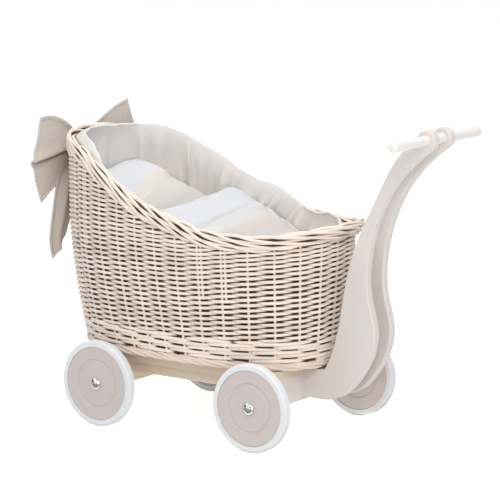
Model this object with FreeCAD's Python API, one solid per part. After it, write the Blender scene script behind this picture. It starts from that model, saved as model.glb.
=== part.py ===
import FreeCAD, Part
import math
import os

os.makedirs("parts", exist_ok=True)
V = FreeCAD.Vector

# Doll stroller: a wicker basket on a wooden chassis with four wheels and a twin-board push handle.
# Millimetres.  +Z is up, the head end points to -X, the handle stands at +X, the chassis is
# symmetric about y = 0.  While modelling, x = 0 is midway between the axles and z = 0 is the floor.

# ------------------------------------------------------------------ driving dimensions: wheels
AXLE_BASE = 302.0           # distance between the two axles
TYRE_DIA = 140.0
TYRE_WIDTH = 16.0
TYRE_SHOULDER = 3.0         # rounding of the tyre's outer corners
RIB_COUNT = 4               # raised rings round the tread
RIB_HEIGHT = 1.2
RIB_CREST = 0.44            # flat top of a rib as a share of the rib pitch
DISC_DIA = 120.0            # turned wooden wheel
DISC_THICKNESS = 14.0
DISC_ROUND = 1.5
GROOVE_DIA = 76.0           # decorative cove turned in both faces
GROOVE_WIDTH = 5.0
GROOVE_DEPTH = 1.5
AXLE_DIA = 8.0
AXLE_CHAMFER = 0.8
RUNNING_CLEARANCE = 0.05    # radial, wheel bore on axle
SIDE_PLAY = 0.3             # axial, wheel to washer and wheel to cap
WASHER_DIA = 22.0
WASHER_THICKNESS = 2.5
CAP_DIA = 19.0              # domed push-on cap
CAP_HEIGHT = 6.0
CAP_RIM = 1.2               # straight rim under the dome
CAP_DEPTH = 4.5             # how far the axle enters the cap

# ------------------------------------------------------------------ driving dimensions: chassis
BEAM_LENGTH = 284.0         # cross beam under each end, along Y
BEAM_THICKNESS = 25.0
BEAM_HEIGHT = 42.0
BEAM_BELOW_AXLE = 9.0       # axle centre down to the beam's underside
WOOD_ROUND = 1.5            # softened edges of the wooden parts
PLY = 15.0                  # plywood of the base board
BASE_WIDTH = 220.0
RAIL_WIDTH = 20.0           # two rails between the beams
RAIL_HEIGHT = 21.0
RAIL_INSET = 15.0           # rail's outer face in from the base board's edge

# ------------------------------------------------------------------ driving dimensions: handle
HANDLE_PLY = 15.0
HANDLE_GAP = 32.0           # clear width between the two boards
HANDLE_ROUND = 2.5
DOWEL_DIA = 16.0
DOWEL_LENGTH = 253.0
DOWEL_END_ROUND = 5.0
GLUE_GAP = 0.05             # radial, dowel in its two eyes
EYE_DIA = 33.0
EYE_REACH = 221.5           # eye centre behind the rear beam's back face
EYE_HEIGHT = 489.0
EYE_BACK_ANGLE = -48.0      # where the back edge runs into the eye
EYE_FRONT_ANGLE = 160.0     # where the front edge leaves it
HANDLE_FOOT_DEPTH = 36.0    # straight underside of each board
HANDLE_SEAT_DEPTH = 41.0    # straight top of the boards' foot, under the basket
HANDLE_FOOT_LIFT = 6.0      # underside of the boards above the beam's underside
HANDLE_TUCK = 3.0           # top of the boards' foot below the basket
# Back and front edges of a board, as (share of the reach to the eye, share of the rise from the
# underside of the foot to the eye).
BACK_EDGE = ((0.255, 0.006), (0.366, 0.034), (0.445, 0.073), (0.508, 0.118), (0.588, 0.204),
             (0.603, 0.287), (0.553, 0.398), (0.544, 0.524), (0.609, 0.678), (0.700, 0.782),
             (0.797, 0.853), (0.905, 0.911), (0.984, 0.945))
FRONT_EDGE = ((0.861, 0.980), (0.800, 0.947), (0.707, 0.878), (0.630, 0.801), (0.530, 0.699),
              (0.442, 0.600), (0.375, 0.493), (0.334, 0.386), (0.298, 0.280), (0.244, 0.180))
SPACER_LENGTH = 40.0        # block between the boards, behind the rear beam
SPACER_HEIGHT = 34.0
SCREW_DIA = 5.0
SCREW_HEAD_DIA = 10.0
SCREW_HEAD_HEIGHT = 3.0
HANDLE_SCREW_GRIP = 30.0    # thread length past the beam
HANDLE_SCREW_PITCH = 20.0
BASE_SCREW_GRIP = 25.0
BASE_SCREW_INSET = 40.0     # in from the base board's long edges, clear of the rails
BASKET_SCREW_GRIP = 20.0    # up through the base board into the woven floor
BASKET_SCREW_PITCH_X = 180.0
BASKET_SCREW_PITCH_Y = 110.0

# ------------------------------------------------------------------ driving dimensions: basket
FOOT_LENGTH = 450.0         # outline where the basket stands on the board
FOOT_WIDTH = 259.0
FOOT_CENTRE = -25.0
FOOT_SQUARENESS = 2.8       # exponent of the superellipse
WAIST_LENGTH = 512.0        # outline at WAIST_HEIGHT and above
WAIST_WIDTH = 304.0
WAIST_CENTRE = -38.6
WAIST_SQUARENESS = 2.35
WAIST_HEIGHT = 212.0        # above the basket's underside
FLARE = 1.53                # how early the wall opens out
RIM_HEAD_OUT = -1.6         # centre line of the rolled rim beyond the wall, at the head end
RIM_FOOT_OUT = 21.6         # at the foot end
RIM_SIDE_OUT = 1.0
RIM_SQUARENESS = 2.3
RIM_HEAD_Z = 468.0          # top of the rim at the head end
RIM_FOOT_Z = 338.0          # top of the rim at its lowest
RIM_BAND = 31.0             # height of the rolled rim
RIM_THICKNESS = 13.0
RIM_RODS = 5                # rods laid side by side in the rolled rim
RIM_TURNS = 15              # rod places that the winding moves on in one lap
RIM_VALLEY = 0.9            # hollow between two rods against a rod's crest
# Height of the rim from head to foot, as (share of the length, share of the rise).
RIM_SWEEP = ((0.0, 1.0), (0.10, 0.925), (0.18, 0.845), (0.27, 0.65), (0.41, 0.352),
             (0.55, 0.16), (0.66, 0.035), (0.75, 0.0), (0.86, 0.0), (1.0, 0.10))
WALL = 9.0                  # woven wall, rod to rod
FLOOR_THICKNESS = 8.0
FOOT_BORDER_HEIGHT = 14.0
FOOT_BORDER_PROUD = 1.5
SEAT_GAP = 0.3              # soft pieces to what they lie in

# ------------------------------------------------------------------ driving dimensions: textiles
LINER = 2.0
LINER_BELOW_RIM = 8.0
PIPING_DIA = 5.0
MATTRESS_THICKNESS = 60.0
BED_EASE = 1.5              # bedding to the liner all round
PILLOW_CROWN_Z = 408.0
PILLOW_WIDTH = 270.0
DUVET_CROWN_Z = 384.0
DUVET_WIDTH = 272.0
CROWN_DROP = 42.0           # crown of pillow and duvet above their long edges
# Side views of pillow and duvet as (x, height above the mattress).
PILLOW_SIDE = ((-286.0, 60.0), (-280.0, 4.0), (-190.0, 0.0), (-112.0, 4.0), (-104.0, 70.0),
               (-110.0, 140.0), (-140.0, 198.0), (-195.0, 218.0), (-250.0, 208.0), (-286.0, 150.0))
DUVET_SIDE = ((-98.0, 60.0), (-90.0, 4.0), (30.0, 0.0), (165.0, 6.0), (192.0, 55.0),
              (170.0, 108.0), (112.0, 152.0), (50.0, 180.0), (-20.0, 194.0), (-72.0, 182.0),
              (-98.0, 138.0))
BOW_Z = 420.0               # middle of the knot
BOW_THICKNESS = 24.0
BOW_DRAWN_IN = 0.86         # outline of a loop's faces against its middle
BOW_PLUMP = (0.3, 0.7)      # stretch of the thickness over which a loop has its full outline
KNOT_WIDTH = 30.0
KNOT_HEIGHT = 36.0
KNOT_PROUD = 4.0            # knot in front of the loops
KNOT_ROUND = 8.0
TAIL_THICKNESS = 3.0
# Outlines as (distance from the middle, height above the knot's middle).
LOOP_OUTLINE = ((17.0, 9.0), (30.0, 40.0), (58.0, 60.0), (92.0, 64.0), (104.0, 36.0),
                (118.0, 2.0), (112.0, -34.0), (96.0, -72.0), (70.0, -54.0), (36.0, -24.0),
                (17.0, -9.0))
TAIL_OUTLINE = ((1.0, -17.1), (13.0, -17.1), (33.0, -24.0), (49.0, -46.0), (54.0, -74.0),
                (61.0, -100.0), (64.0, -125.0), (60.0, -161.0), (53.0, -172.0), (36.0, -157.0),
                (11.0, -130.0), (4.0, -80.0))

# ------------------------------------------------------------------ places worked out from them
AXLE_Z = TYRE_DIA / 2
BEAM_X = AXLE_BASE / 2
BEAM_Z0 = AXLE_Z - BEAM_BELOW_AXLE
BEAM_Z1 = BEAM_Z0 + BEAM_HEIGHT
BEAM_BACK = BEAM_X + BEAM_THICKNESS / 2
BEAM_INNER = BEAM_X - BEAM_THICKNESS / 2
BASKET_Z = BEAM_Z1 + PLY
RIM_LENGTH = WAIST_LENGTH + RIM_HEAD_OUT + RIM_FOOT_OUT
RIM_WIDTH = WAIST_WIDTH + 2 * RIM_SIDE_OUT
RIM_CENTRE = WAIST_CENTRE + (RIM_FOOT_OUT - RIM_HEAD_OUT) / 2
WAIST_Z = BASKET_Z + WAIST_HEIGHT
WHEEL_Y = BEAM_LENGTH / 2 + WASHER_THICKNESS + SIDE_PLAY + DISC_THICKNESS / 2
CAP_Y = WHEEL_Y + DISC_THICKNESS / 2 + SIDE_PLAY
AXLE_END_Y = CAP_Y + CAP_DEPTH
EYE_X = BEAM_BACK + EYE_REACH
FLOOR_TOP = BASKET_Z + FLOOR_THICKNESS
RIM_HEAD_X = RIM_CENTRE - RIM_LENGTH / 2
BED_Z = FLOOR_TOP + SEAT_GAP + LINER + SEAT_GAP


# ------------------------------------------------------------------ basic shapes
def block(x0, x1, y0, y1, z0, z1):
    return Part.makeBox(x1 - x0, y1 - y0, z1 - z0, V(x0, y0, z0))


def rod_y(diameter, x, z, y0, y1):
    return Part.makeCylinder(diameter / 2, y1 - y0, V(x, y0, z), V(0, 1, 0))


def rounded_block(x0, x1, y0, y1, z0, z1, radius, mating_z=None):
    """Block with softened edges; those in the plane mating_z stay sharp, to meet the next piece."""
    solid = block(x0, x1, y0, y1, z0, z1)
    free = [e for e in solid.Edges if mating_z is None
            or max(abs(v.Z - mating_z) for v in e.Vertexes) > 0.01]
    return solid.makeFillet(radius, free)


def turned_y(profile, x, z):
    """Solid of revolution about the Y axis through (x, z); profile is (radius, y) points."""
    points = [V(x + r, y, z) for r, y in profile]
    face = Part.Face(Part.makePolygon(points + points[:1]))
    return face.revolve(V(x, 0, z), V(0, 1, 0), 360)


def mirrored_y(shape):
    return shape.mirror(V(0, 0, 0), V(0, 1, 0))


def quarter(centre_r, centre_y, radius, start, steps=4):
    """Points of a quarter circle in a (radius, y) profile, from the angle start, in degrees."""
    angles = [math.radians(start + 90 * i / steps) for i in range(steps + 1)]
    return [(centre_r + radius * math.cos(a), centre_y + radius * math.sin(a)) for a in angles]


# ------------------------------------------------------------------ wheels
def wheel_disc(x, y):
    """Turned disc with rounded rims, a bore for the axle and a ring cove in both faces."""
    outer = DISC_DIA / 2
    half = DISC_THICKNESS / 2
    bore = AXLE_DIA / 2 + RUNNING_CLEARANCE
    steps = 6
    profile = [(bore, -half)]
    profile += quarter(outer - DISC_ROUND, -half + DISC_ROUND, DISC_ROUND, -90)
    profile += quarter(outer - DISC_ROUND, half - DISC_ROUND, DISC_ROUND, 0)
    profile += [(bore, half)]
    disc = turned_y([(r, y + v) for r, v in profile], x, AXLE_Z)
    for side in (-1, 1):
        face = y + side * half
        cove = [(GROOVE_DIA / 2 + GROOVE_WIDTH / 2 * math.cos(a), face - side * GROOVE_DEPTH * math.sin(a))
                for a in (math.pi * i / steps for i in range(steps + 1))]
        groove = turned_y(cove + [(cove[-1][0], face + side), (cove[0][0], face + side)], x, AXLE_Z)
        disc = disc.cut(groove)
    return disc


def tyre(x, y):
    """Rubber tyre with round shoulders and raised rings round the tread."""
    outer = TYRE_DIA / 2
    half = TYRE_WIDTH / 2
    inner = DISC_DIA / 2
    base = outer - RIB_HEIGHT
    flat = half - TYRE_SHOULDER
    profile = [(inner, -half)]
    profile += quarter(base - TYRE_SHOULDER, -flat, TYRE_SHOULDER, -90, 3)
    pitch = 2 * flat / RIB_COUNT
    for i in range(RIB_COUNT):
        centre = -flat + pitch * (i + 0.5)
        crest = pitch * RIB_CREST / 2
        profile += [(outer, centre - crest), (outer, centre + crest)]
        if i < RIB_COUNT - 1:
            profile += [(base, centre + pitch / 2)]
    profile += quarter(base - TYRE_SHOULDER, flat, TYRE_SHOULDER, 0, 3)
    profile += [(inner, half)]
    return turned_y([(r, y + v) for r, v in profile], x, AXLE_Z)


def axle(x):
    rod = rod_y(AXLE_DIA, x, AXLE_Z, -AXLE_END_Y, AXLE_END_Y)
    ends = [e for e in rod.Edges if abs(abs(e.CenterOfMass.y) - AXLE_END_Y) < 0.01]
    return rod.makeChamfer(AXLE_CHAMFER, ends)


def washer(x):
    y0 = BEAM_LENGTH / 2
    ring = rod_y(WASHER_DIA, x, AXLE_Z, y0, y0 + WASHER_THICKNESS)
    return ring.cut(rod_y(AXLE_DIA, x, AXLE_Z, y0, y0 + WASHER_THICKNESS))


def axle_cap(x):
    """Push-on cap: straight rim, domed end, blind hole for the axle."""
    r = CAP_DIA / 2
    rise = CAP_HEIGHT - CAP_RIM
    steps = 6
    dome = [(r * math.cos(math.pi / 2 * i / steps), CAP_RIM + rise * math.sin(math.pi / 2 * i / steps))
            for i in range(steps + 1)]
    cap = turned_y([(r, CAP_Y + v) if i < steps else (0, CAP_Y + v) for i, (r, v) in enumerate(dome)]
                   + [(0, CAP_Y), (CAP_DIA / 2, CAP_Y)], x, AXLE_Z)
    return cap.cut(axle(x))


# ------------------------------------------------------------------ chassis
def axle_beam(x):
    half = BEAM_LENGTH / 2
    beam = rounded_block(x - BEAM_THICKNESS / 2, x + BEAM_THICKNESS / 2, -half, half,
                         BEAM_Z0, BEAM_Z1, WOOD_ROUND, BEAM_Z1)
    return beam.cut(rod_y(AXLE_DIA, x, AXLE_Z, -half, half))


def side_rail():
    """Rail on the left, between the two beams, under the base board."""
    y0 = -(BASE_WIDTH / 2 - RAIL_INSET)
    rail = block(-BEAM_INNER, BEAM_INNER, y0, y0 + RAIL_WIDTH, BEAM_Z1 - RAIL_HEIGHT, BEAM_Z1)
    lower = [e for e in rail.Edges if e.BoundBox.ZMax < BEAM_Z1 - RAIL_HEIGHT + 0.01
             and e.BoundBox.XLength > BEAM_INNER]
    return rail.makeFillet(WOOD_ROUND, lower)


def base_board():
    """Plywood board on the beams and rails; the basket stands on it."""
    half = BASE_WIDTH / 2
    return rounded_block(-BEAM_BACK, BEAM_BACK, -half, half, BEAM_Z1, BASKET_Z, WOOD_ROUND, BEAM_Z1)


def countersunk(point, direction, grip):
    """Wood screw with a flat head whose top lies at point; it drives along direction."""
    head = Part.makeCone(SCREW_HEAD_DIA / 2, SCREW_DIA / 2, SCREW_HEAD_HEIGHT, point, direction)
    shank = Part.makeCylinder(SCREW_DIA / 2, grip, point, direction)
    return head.fuse(shank).removeSplitter()


def basket_screws():
    """Four screws up through the base board that hold the basket down."""
    return [countersunk(V(end * BASKET_SCREW_PITCH_X / 2, side * BASKET_SCREW_PITCH_Y / 2, BEAM_Z1),
                        V(0, 0, 1), BASKET_SCREW_GRIP)
            for end in (-1, 1) for side in (-1, 1)]


# ------------------------------------------------------------------ handle
def handle_outline():
    """Closed outline of a handle board in the plane y = 0."""
    def at(point):
        return V(BEAM_BACK + point[0], 0, point[1])

    def along(shares):
        return at((shares[0] * EYE_REACH, foot_z + shares[1] * (EYE_HEIGHT - foot_z)))

    foot_z = BEAM_Z0 + HANDLE_FOOT_LIFT
    top_z = BASKET_Z - HANDLE_TUCK
    eye = V(EYE_X, 0, EYE_HEIGHT)
    r = EYE_DIA / 2
    lower = math.radians(EYE_BACK_ANGLE)
    upper = math.radians(EYE_FRONT_ANGLE)
    back_end = eye + V(r * math.cos(lower), 0, r * math.sin(lower))
    front_start = eye + V(r * math.cos(upper), 0, r * math.sin(upper))
    top = (lower + upper) / 2
    crest = eye + V(r * math.cos(top), 0, r * math.sin(top))
    heel = at((0, foot_z))
    toe = at((HANDLE_FOOT_DEPTH, foot_z))
    notch = at((0, top_z))
    seat = at((HANDLE_SEAT_DEPTH, top_z))

    back = Part.BSplineCurve()
    back.interpolate(Points=[toe] + [along(p) for p in BACK_EDGE] + [back_end], PeriodicFlag=False)
    front = Part.BSplineCurve()
    front.interpolate(Points=[front_start] + [along(p) for p in FRONT_EDGE] + [seat], PeriodicFlag=False)
    edges = [Part.makeLine(heel, toe), back.toShape(), Part.Arc(back_end, crest, front_start).toShape(),
             front.toShape(), Part.makeLine(seat, notch), Part.makeLine(notch, heel)]
    return Part.Wire(edges)


def handle_board():
    """Left board: S-curved plywood with an eye for the dowel, edges rounded over."""
    y_outer = -(HANDLE_GAP / 2 + HANDLE_PLY)
    outline = Part.Face(handle_outline())
    board = outline.extrude(V(0, HANDLE_PLY, 0))
    board.translate(V(0, y_outer, 0))
    rims = [e for e in board.Edges if e.BoundBox.YLength < 0.01 and not isinstance(e.Curve, Part.Line)]
    board = board.makeFillet(HANDLE_ROUND, rims)
    return board.cut(rod_y(DOWEL_DIA + 2 * GLUE_GAP, EYE_X, EYE_HEIGHT, y_outer, 0))


def handlebar():
    dowel = rod_y(DOWEL_DIA, EYE_X, EYE_HEIGHT, -DOWEL_LENGTH / 2, DOWEL_LENGTH / 2)
    ends = [e for e in dowel.Edges if abs(abs(e.CenterOfMass.y) - DOWEL_LENGTH / 2) < 0.01]
    return dowel.makeFillet(DOWEL_END_ROUND, ends)


def handle_spacer():
    z0 = BEAM_Z0 + HANDLE_FOOT_LIFT
    return block(BEAM_BACK, BEAM_BACK + SPACER_LENGTH, -HANDLE_GAP / 2, HANDLE_GAP / 2,
                 z0, z0 + SPACER_HEIGHT)


def handle_screws():
    """Four screws through the rear beam, two into the end of each handle board."""
    middle = BEAM_Z0 + BEAM_HEIGHT / 2 + HANDLE_SCREW_PITCH / 4
    y = (HANDLE_GAP + HANDLE_PLY) / 2
    return [countersunk(V(BEAM_INNER, side * y, middle + step * HANDLE_SCREW_PITCH / 2), V(1, 0, 0),
                        BEAM_THICKNESS + HANDLE_SCREW_GRIP)
            for side in (-1, 1) for step in (-1, 1)]


def base_screws():
    """Four screws down through the base board into the beams."""
    y = BASE_WIDTH / 2 - BASE_SCREW_INSET
    return [countersunk(V(end * BEAM_X, side * y, BASKET_Z), V(0, 0, -1), PLY + BASE_SCREW_GRIP)
            for end in (-1, 1) for side in (-1, 1)]


# ------------------------------------------------------------------ basket
def outline_point(angle, centre, length, width, squareness, inset=0.0):
    """Point of a superellipse in the direction angle from its centre."""
    a = length / 2 - inset
    b = width / 2 - inset
    c, s = math.cos(angle), math.sin(angle)
    reach = (abs(c / a) ** squareness + abs(s / b) ** squareness) ** (-1 / squareness)
    return centre + reach * c, reach * s


def wall_point(angle, z, inset=0.0):
    """Point of the basket's outer surface at a height, or inset from it."""
    h = min(max((z - BASKET_Z) / WAIST_HEIGHT, 0.0), 1.0)
    opened = 1 - (1 - h) ** FLARE

    def between(low, high):
        return low + (high - low) * opened

    return outline_point(angle, between(FOOT_CENTRE, WAIST_CENTRE), between(FOOT_LENGTH, WAIST_LENGTH),
                         between(FOOT_WIDTH, WAIST_WIDTH),
                         between(FOOT_SQUARENESS, WAIST_SQUARENESS), inset)


def rim_top(x):
    """Height of the rim's top at x: a smooth curve through the stations of RIM_SWEEP."""
    u = min(max((x - RIM_HEAD_X) / RIM_LENGTH, 0.0), 1.0)
    i = max(k for k in range(len(RIM_SWEEP) - 1) if RIM_SWEEP[k][0] <= u)

    def slope(k):
        low, high = max(k - 1, 0), min(k + 1, len(RIM_SWEEP) - 1)
        return (RIM_SWEEP[high][1] - RIM_SWEEP[low][1]) / (RIM_SWEEP[high][0] - RIM_SWEEP[low][0])

    (u0, v0), (u1, v1) = RIM_SWEEP[i], RIM_SWEEP[i + 1]
    step = u1 - u0
    t = (u - u0) / step
    share = ((2 * t ** 3 - 3 * t ** 2 + 1) * v0 + (t ** 3 - 2 * t ** 2 + t) * step * slope(i)
             + (3 * t ** 2 - 2 * t ** 3) * v1 + (t ** 3 - t ** 2) * step * slope(i + 1))
    return RIM_FOOT_Z + (RIM_HEAD_Z - RIM_FOOT_Z) * share


def rim_point(angle, inset=0.0):
    """Point on the rim's centre line seen from above."""
    return outline_point(angle, RIM_CENTRE, RIM_LENGTH, RIM_WIDTH, RIM_SQUARENESS, inset)


def closed_curve(points):
    curve = Part.BSplineCurve()
    curve.interpolate(Points=points, PeriodicFlag=True)
    return Part.Wire([curve.toShape()])


def wall_curve(z, inset, count=28):
    points = [wall_point(2 * math.pi * i / count, z, inset) for i in range(count)]
    return closed_curve([V(x, y, z) for x, y in points])


def tub(inset, z0, z1):
    """Solid inside the basket's outer surface, inset from it, between two heights."""
    steps = 3
    levels = [z0 + (min(z1, WAIST_Z) - z0) * i / steps for i in range(steps + 1)]
    solid = Part.makeLoft([wall_curve(z, inset) for z in levels], True)
    if z1 > WAIST_Z:
        upper = Part.Face(wall_curve(WAIST_Z, inset)).extrude(V(0, 0, z1 - WAIST_Z))
        solid = solid.fuse(upper)
    return solid


def above_rim(drop):
    """Everything higher than the rim's top line lowered by drop, as a cutting body."""
    x0, x1 = RIM_HEAD_X - 2 * RIM_BAND, RIM_HEAD_X + RIM_LENGTH + 2 * RIM_BAND
    steps = 24
    line = [V(x0 + (x1 - x0) * i / steps, -RIM_WIDTH, 0) for i in range(steps + 1)]
    line = [V(p.x, p.y, rim_top(p.x) - drop) for p in line]
    curve = Part.BSplineCurve()
    curve.interpolate(Points=line, PeriodicFlag=False)
    top = RIM_HEAD_Z + RIM_BAND
    corners = [line[-1], V(x1, -RIM_WIDTH, top), V(x0, -RIM_WIDTH, top), line[0]]
    outline = Part.Wire([curve.toShape()] + [Part.makeLine(a, b) for a, b in zip(corners, corners[1:])])
    return Part.Face(outline).extrude(V(0, 2 * RIM_WIDTH, 0))


def basket_wall():
    z0 = BASKET_Z + FOOT_BORDER_HEIGHT
    outside = tub(0.0, z0, RIM_HEAD_Z)
    inside = tub(WALL, z0, RIM_HEAD_Z)
    return outside.cut(inside).cut(above_rim(RIM_BAND + SEAT_GAP))


def basket_floor():
    face = Part.Face(wall_curve(BASKET_Z, WALL + SEAT_GAP))
    return face.extrude(V(0, 0, FLOOR_THICKNESS))


def foot_border():
    """Plaited ring that closes the foot of the wall."""
    z1 = BASKET_Z + FOOT_BORDER_HEIGHT
    outside = Part.makeLoft([wall_curve(BASKET_Z, -FOOT_BORDER_PROUD),
                             wall_curve(BASKET_Z + FOOT_BORDER_HEIGHT / 2, -FOOT_BORDER_PROUD),
                             wall_curve(z1, 0.0)], True)
    inside = Part.makeLoft([wall_curve(BASKET_Z, WALL), wall_curve(z1, WALL)], True)
    return outside.cut(inside)


def ring(sections, turned=0):
    """Closed ring through polygon sections in order round it.

    The last section joins the first one turned by so many corners.
    """
    count = len(sections)
    faces = []
    for i in range(count):
        here, there = sections[i], sections[(i + 1) % count]
        corners = len(here)
        if i == count - 1:
            there = [there[(j + turned) % corners] for j in range(corners)]
        for j in range(corners):
            k = (j + 1) % corners
            faces.append(Part.Face(Part.makePolygon([here[j], here[k], there[k], here[j]])))
            faces.append(Part.Face(Part.makePolygon([here[j], there[k], there[j], here[j]])))
    solid = Part.Solid(Part.Shell(faces))
    if solid.Volume < 0:
        solid.reverse()
    return solid


def rolled_rim(stations=75):
    """Rolled border: rods side by side that wind slowly round the rim, on top of the wall."""
    sections = []
    corners = 2 * RIM_RODS
    for i in range(stations):
        angle = 2 * math.pi * i / stations
        x, y = rim_point(angle)
        upper = V(x, y, rim_top(x))
        x, y = wall_point(angle, upper.z - RIM_BAND, WALL - RIM_THICKNESS / 2)
        lower = V(x, y, rim_top(x) - RIM_BAND)
        out = V(math.cos(angle), math.sin(angle) * RIM_LENGTH / RIM_WIDTH, 0).normalize()
        winding = RIM_TURNS * i / stations / RIM_RODS
        section = []
        for j in range(corners):
            phase = 2 * math.pi * (j / corners + winding)
            lobe = 1.0 if j % 2 == 0 else RIM_VALLEY
            share = (1 + lobe * math.sin(phase)) / 2
            section.append(lower + (upper - lower) * share
                           + out * (RIM_THICKNESS / 2 * lobe * math.cos(phase)))
        sections.append(section)
    return ring(sections, 2 * RIM_TURNS)


# ------------------------------------------------------------------ textiles
def liner():
    """Fabric lining inside the wall and over the floor."""
    z0 = FLOOR_TOP + SEAT_GAP
    outside = tub(WALL + SEAT_GAP, z0, RIM_HEAD_Z)
    inside = tub(WALL + SEAT_GAP + LINER, z0 + LINER, RIM_HEAD_Z + LINER)
    return outside.cut(inside).cut(above_rim(LINER_BELOW_RIM))


def liner_piping(stations=72, corners=6):
    """Corded edge that runs round the top of the liner."""
    sections = []
    radius = PIPING_DIA / 2
    for i in range(stations):
        angle = 2 * math.pi * i / stations
        x, y = wall_point(angle, WAIST_Z, WALL + SEAT_GAP + LINER / 2)
        centre = V(x, y, rim_top(x) - LINER_BELOW_RIM + radius + 2 * SEAT_GAP)
        out = V(math.cos(angle), math.sin(angle), 0)
        sections.append([centre + out * (radius * math.cos(2 * math.pi * j / corners))
                         + V(0, 0, radius * math.sin(2 * math.pi * j / corners))
                         for j in range(corners)])
    return ring(sections)


def bedding_room(z0, z1):
    """Space inside the liner between two heights, clear of it."""
    return tub(WALL + LINER + 2 * SEAT_GAP + BED_EASE, z0, z1)


def mattress():
    return bedding_room(BED_Z, BED_Z + MATTRESS_THICKNESS)


def crowned(side, crown_z, width):
    """Soft body: a side view drawn in XZ, arched across its width, kept inside the liner."""
    z0 = BED_Z + MATTRESS_THICKNESS + SEAT_GAP
    length = Part.Face(closed_curve([V(x, -width, z0 + z) for x, z in side])).extrude(V(0, 2 * width, 0))
    half = width / 2
    edge_z = crown_z - CROWN_DROP
    arch = Part.Arc(V(-RIM_LENGTH, -half, edge_z), V(-RIM_LENGTH, 0, crown_z),
                    V(-RIM_LENGTH, half, edge_z)).toShape()
    feet = [V(-RIM_LENGTH, half, edge_z), V(-RIM_LENGTH, half, z0), V(-RIM_LENGTH, -half, z0),
            V(-RIM_LENGTH, -half, edge_z)]
    outline = Part.Wire([arch] + [Part.makeLine(a, b) for a, b in zip(feet, feet[1:])])
    across = Part.Face(outline).extrude(V(2 * RIM_LENGTH, 0, 0))
    return length.common(across).common(bedding_room(z0, RIM_HEAD_Z))


def pillow():
    return crowned(PILLOW_SIDE, PILLOW_CROWN_Z, PILLOW_WIDTH)


def duvet():
    return crowned(DUVET_SIDE, DUVET_CROWN_Z, DUVET_WIDTH)


# ------------------------------------------------------------------ bow on the head end
def bow_back():
    """Back of the bow's loops, which stand clear of the rolled rim."""
    return RIM_HEAD_X - RIM_THICKNESS / 2 - SEAT_GAP


def padded_slab(outline, x, thickness):
    """Soft slab standing across X: full size in the middle, drawn in at both faces."""
    middle_y = sum(y for y, z in outline) / len(outline)
    middle_z = sum(z for y, z in outline) / len(outline)
    wires = []
    depths = (0.0,) + BOW_PLUMP + (1.0,)
    for depth, scale in zip(depths, (BOW_DRAWN_IN, 1.0, 1.0, BOW_DRAWN_IN)):
        wires.append(closed_curve([V(x - depth * thickness, middle_y + (y - middle_y) * scale,
                                     BOW_Z + middle_z + (z - middle_z) * scale)
                                   for y, z in outline]))
    return Part.makeLoft(wires, True)


def bow_loop():
    """Left loop."""
    return padded_slab([(-y, z) for y, z in LOOP_OUTLINE], bow_back(), BOW_THICKNESS)


def bow_knot():
    """Knot: its back lies against the wall, where the ribbon is drawn through the weave."""
    x1 = WAIST_CENTRE - WAIST_LENGTH / 2 - SEAT_GAP
    half = KNOT_WIDTH / 2
    return rounded_block(bow_back() - BOW_THICKNESS - KNOT_PROUD, x1, -half, half,
                         BOW_Z - KNOT_HEIGHT / 2, BOW_Z + KNOT_HEIGHT / 2, KNOT_ROUND)


def bow_tail():
    """Left tail: a flat ribbon that hangs from under the knot and ends in a slant."""
    x = bow_back() - BOW_THICKNESS - SEAT_GAP
    points = [V(x, -y, BOW_Z + z) for y, z in TAIL_OUTLINE]
    return Part.Face(Part.makePolygon(points + points[:1])).extrude(V(-TAIL_THICKNESS, 0, 0))


# ------------------------------------------------------------------ assembly
def both_sides(left_shape, name, nodes):
    nodes["left_" + name] = [left_shape]
    nodes["right_" + name] = [mirrored_y(left_shape)]


def wheel_nodes(nodes):
    for end, x in (("front", -BEAM_X), ("rear", BEAM_X)):
        for side, y in (("left", -WHEEL_Y), ("right", WHEEL_Y)):
            nodes[f"{end}_{side}_wheel_disc"] = [wheel_disc(x, y)]
            nodes[f"{end}_{side}_tyre"] = [tyre(x, y)]


def build():
    """All nodes by name, each a list of solids."""
    nodes = {}
    for end, x in (("front", -BEAM_X), ("rear", BEAM_X)):
        nodes[end + "_axle_beam"] = [axle_beam(x)]
        nodes[end + "_axle"] = [axle(x)]
    fixings = [make(x) for x in (-BEAM_X, BEAM_X) for make in (washer, axle_cap)]
    nodes["axle_washers"] = fixings[0::2] + [mirrored_y(s) for s in fixings[0::2]]
    nodes["axle_caps"] = fixings[1::2] + [mirrored_y(s) for s in fixings[1::2]]
    wheel_nodes(nodes)
    both_sides(side_rail(), "side_rail", nodes)
    nodes["base_screws"] = base_screws()
    nodes["basket_screws"] = basket_screws()
    nodes["handle_screws"] = handle_screws()
    board_holes = nodes["base_screws"] + nodes["basket_screws"]
    nodes["base_board"] = [cut_all(base_board(), board_holes)]
    both_sides(cut_all(handle_board(), nodes["handle_screws"]), "handle_board", nodes)
    nodes["front_axle_beam"] = [cut_all(nodes["front_axle_beam"][0], nodes["base_screws"])]
    nodes["rear_axle_beam"] = [cut_all(nodes["rear_axle_beam"][0],
                                       nodes["base_screws"] + nodes["handle_screws"])]
    nodes["handle_spacer"] = [handle_spacer()]
    nodes["handlebar"] = [handlebar()]
    nodes["basket_floor"] = [cut_all(basket_floor(), nodes["basket_screws"])]
    nodes["basket_foot_border"] = [foot_border()]
    nodes["basket_wall"] = [basket_wall()]
    nodes["basket_rim"] = [rolled_rim()]
    nodes["liner"] = [liner()]
    nodes["liner_piping"] = [liner_piping()]
    nodes["mattress"] = [mattress()]
    nodes["pillow"] = [pillow()]
    nodes["duvet"] = [duvet()]
    both_sides(bow_loop(), "bow_loop", nodes)
    both_sides(bow_tail(), "bow_tail", nodes)
    nodes["bow_knot"] = [bow_knot()]
    return nodes


def cut_all(solid, tools):
    for tool in tools:
        if solid.BoundBox.intersect(tool.BoundBox):
            solid = solid.cut(tool)
    return solid


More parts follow.
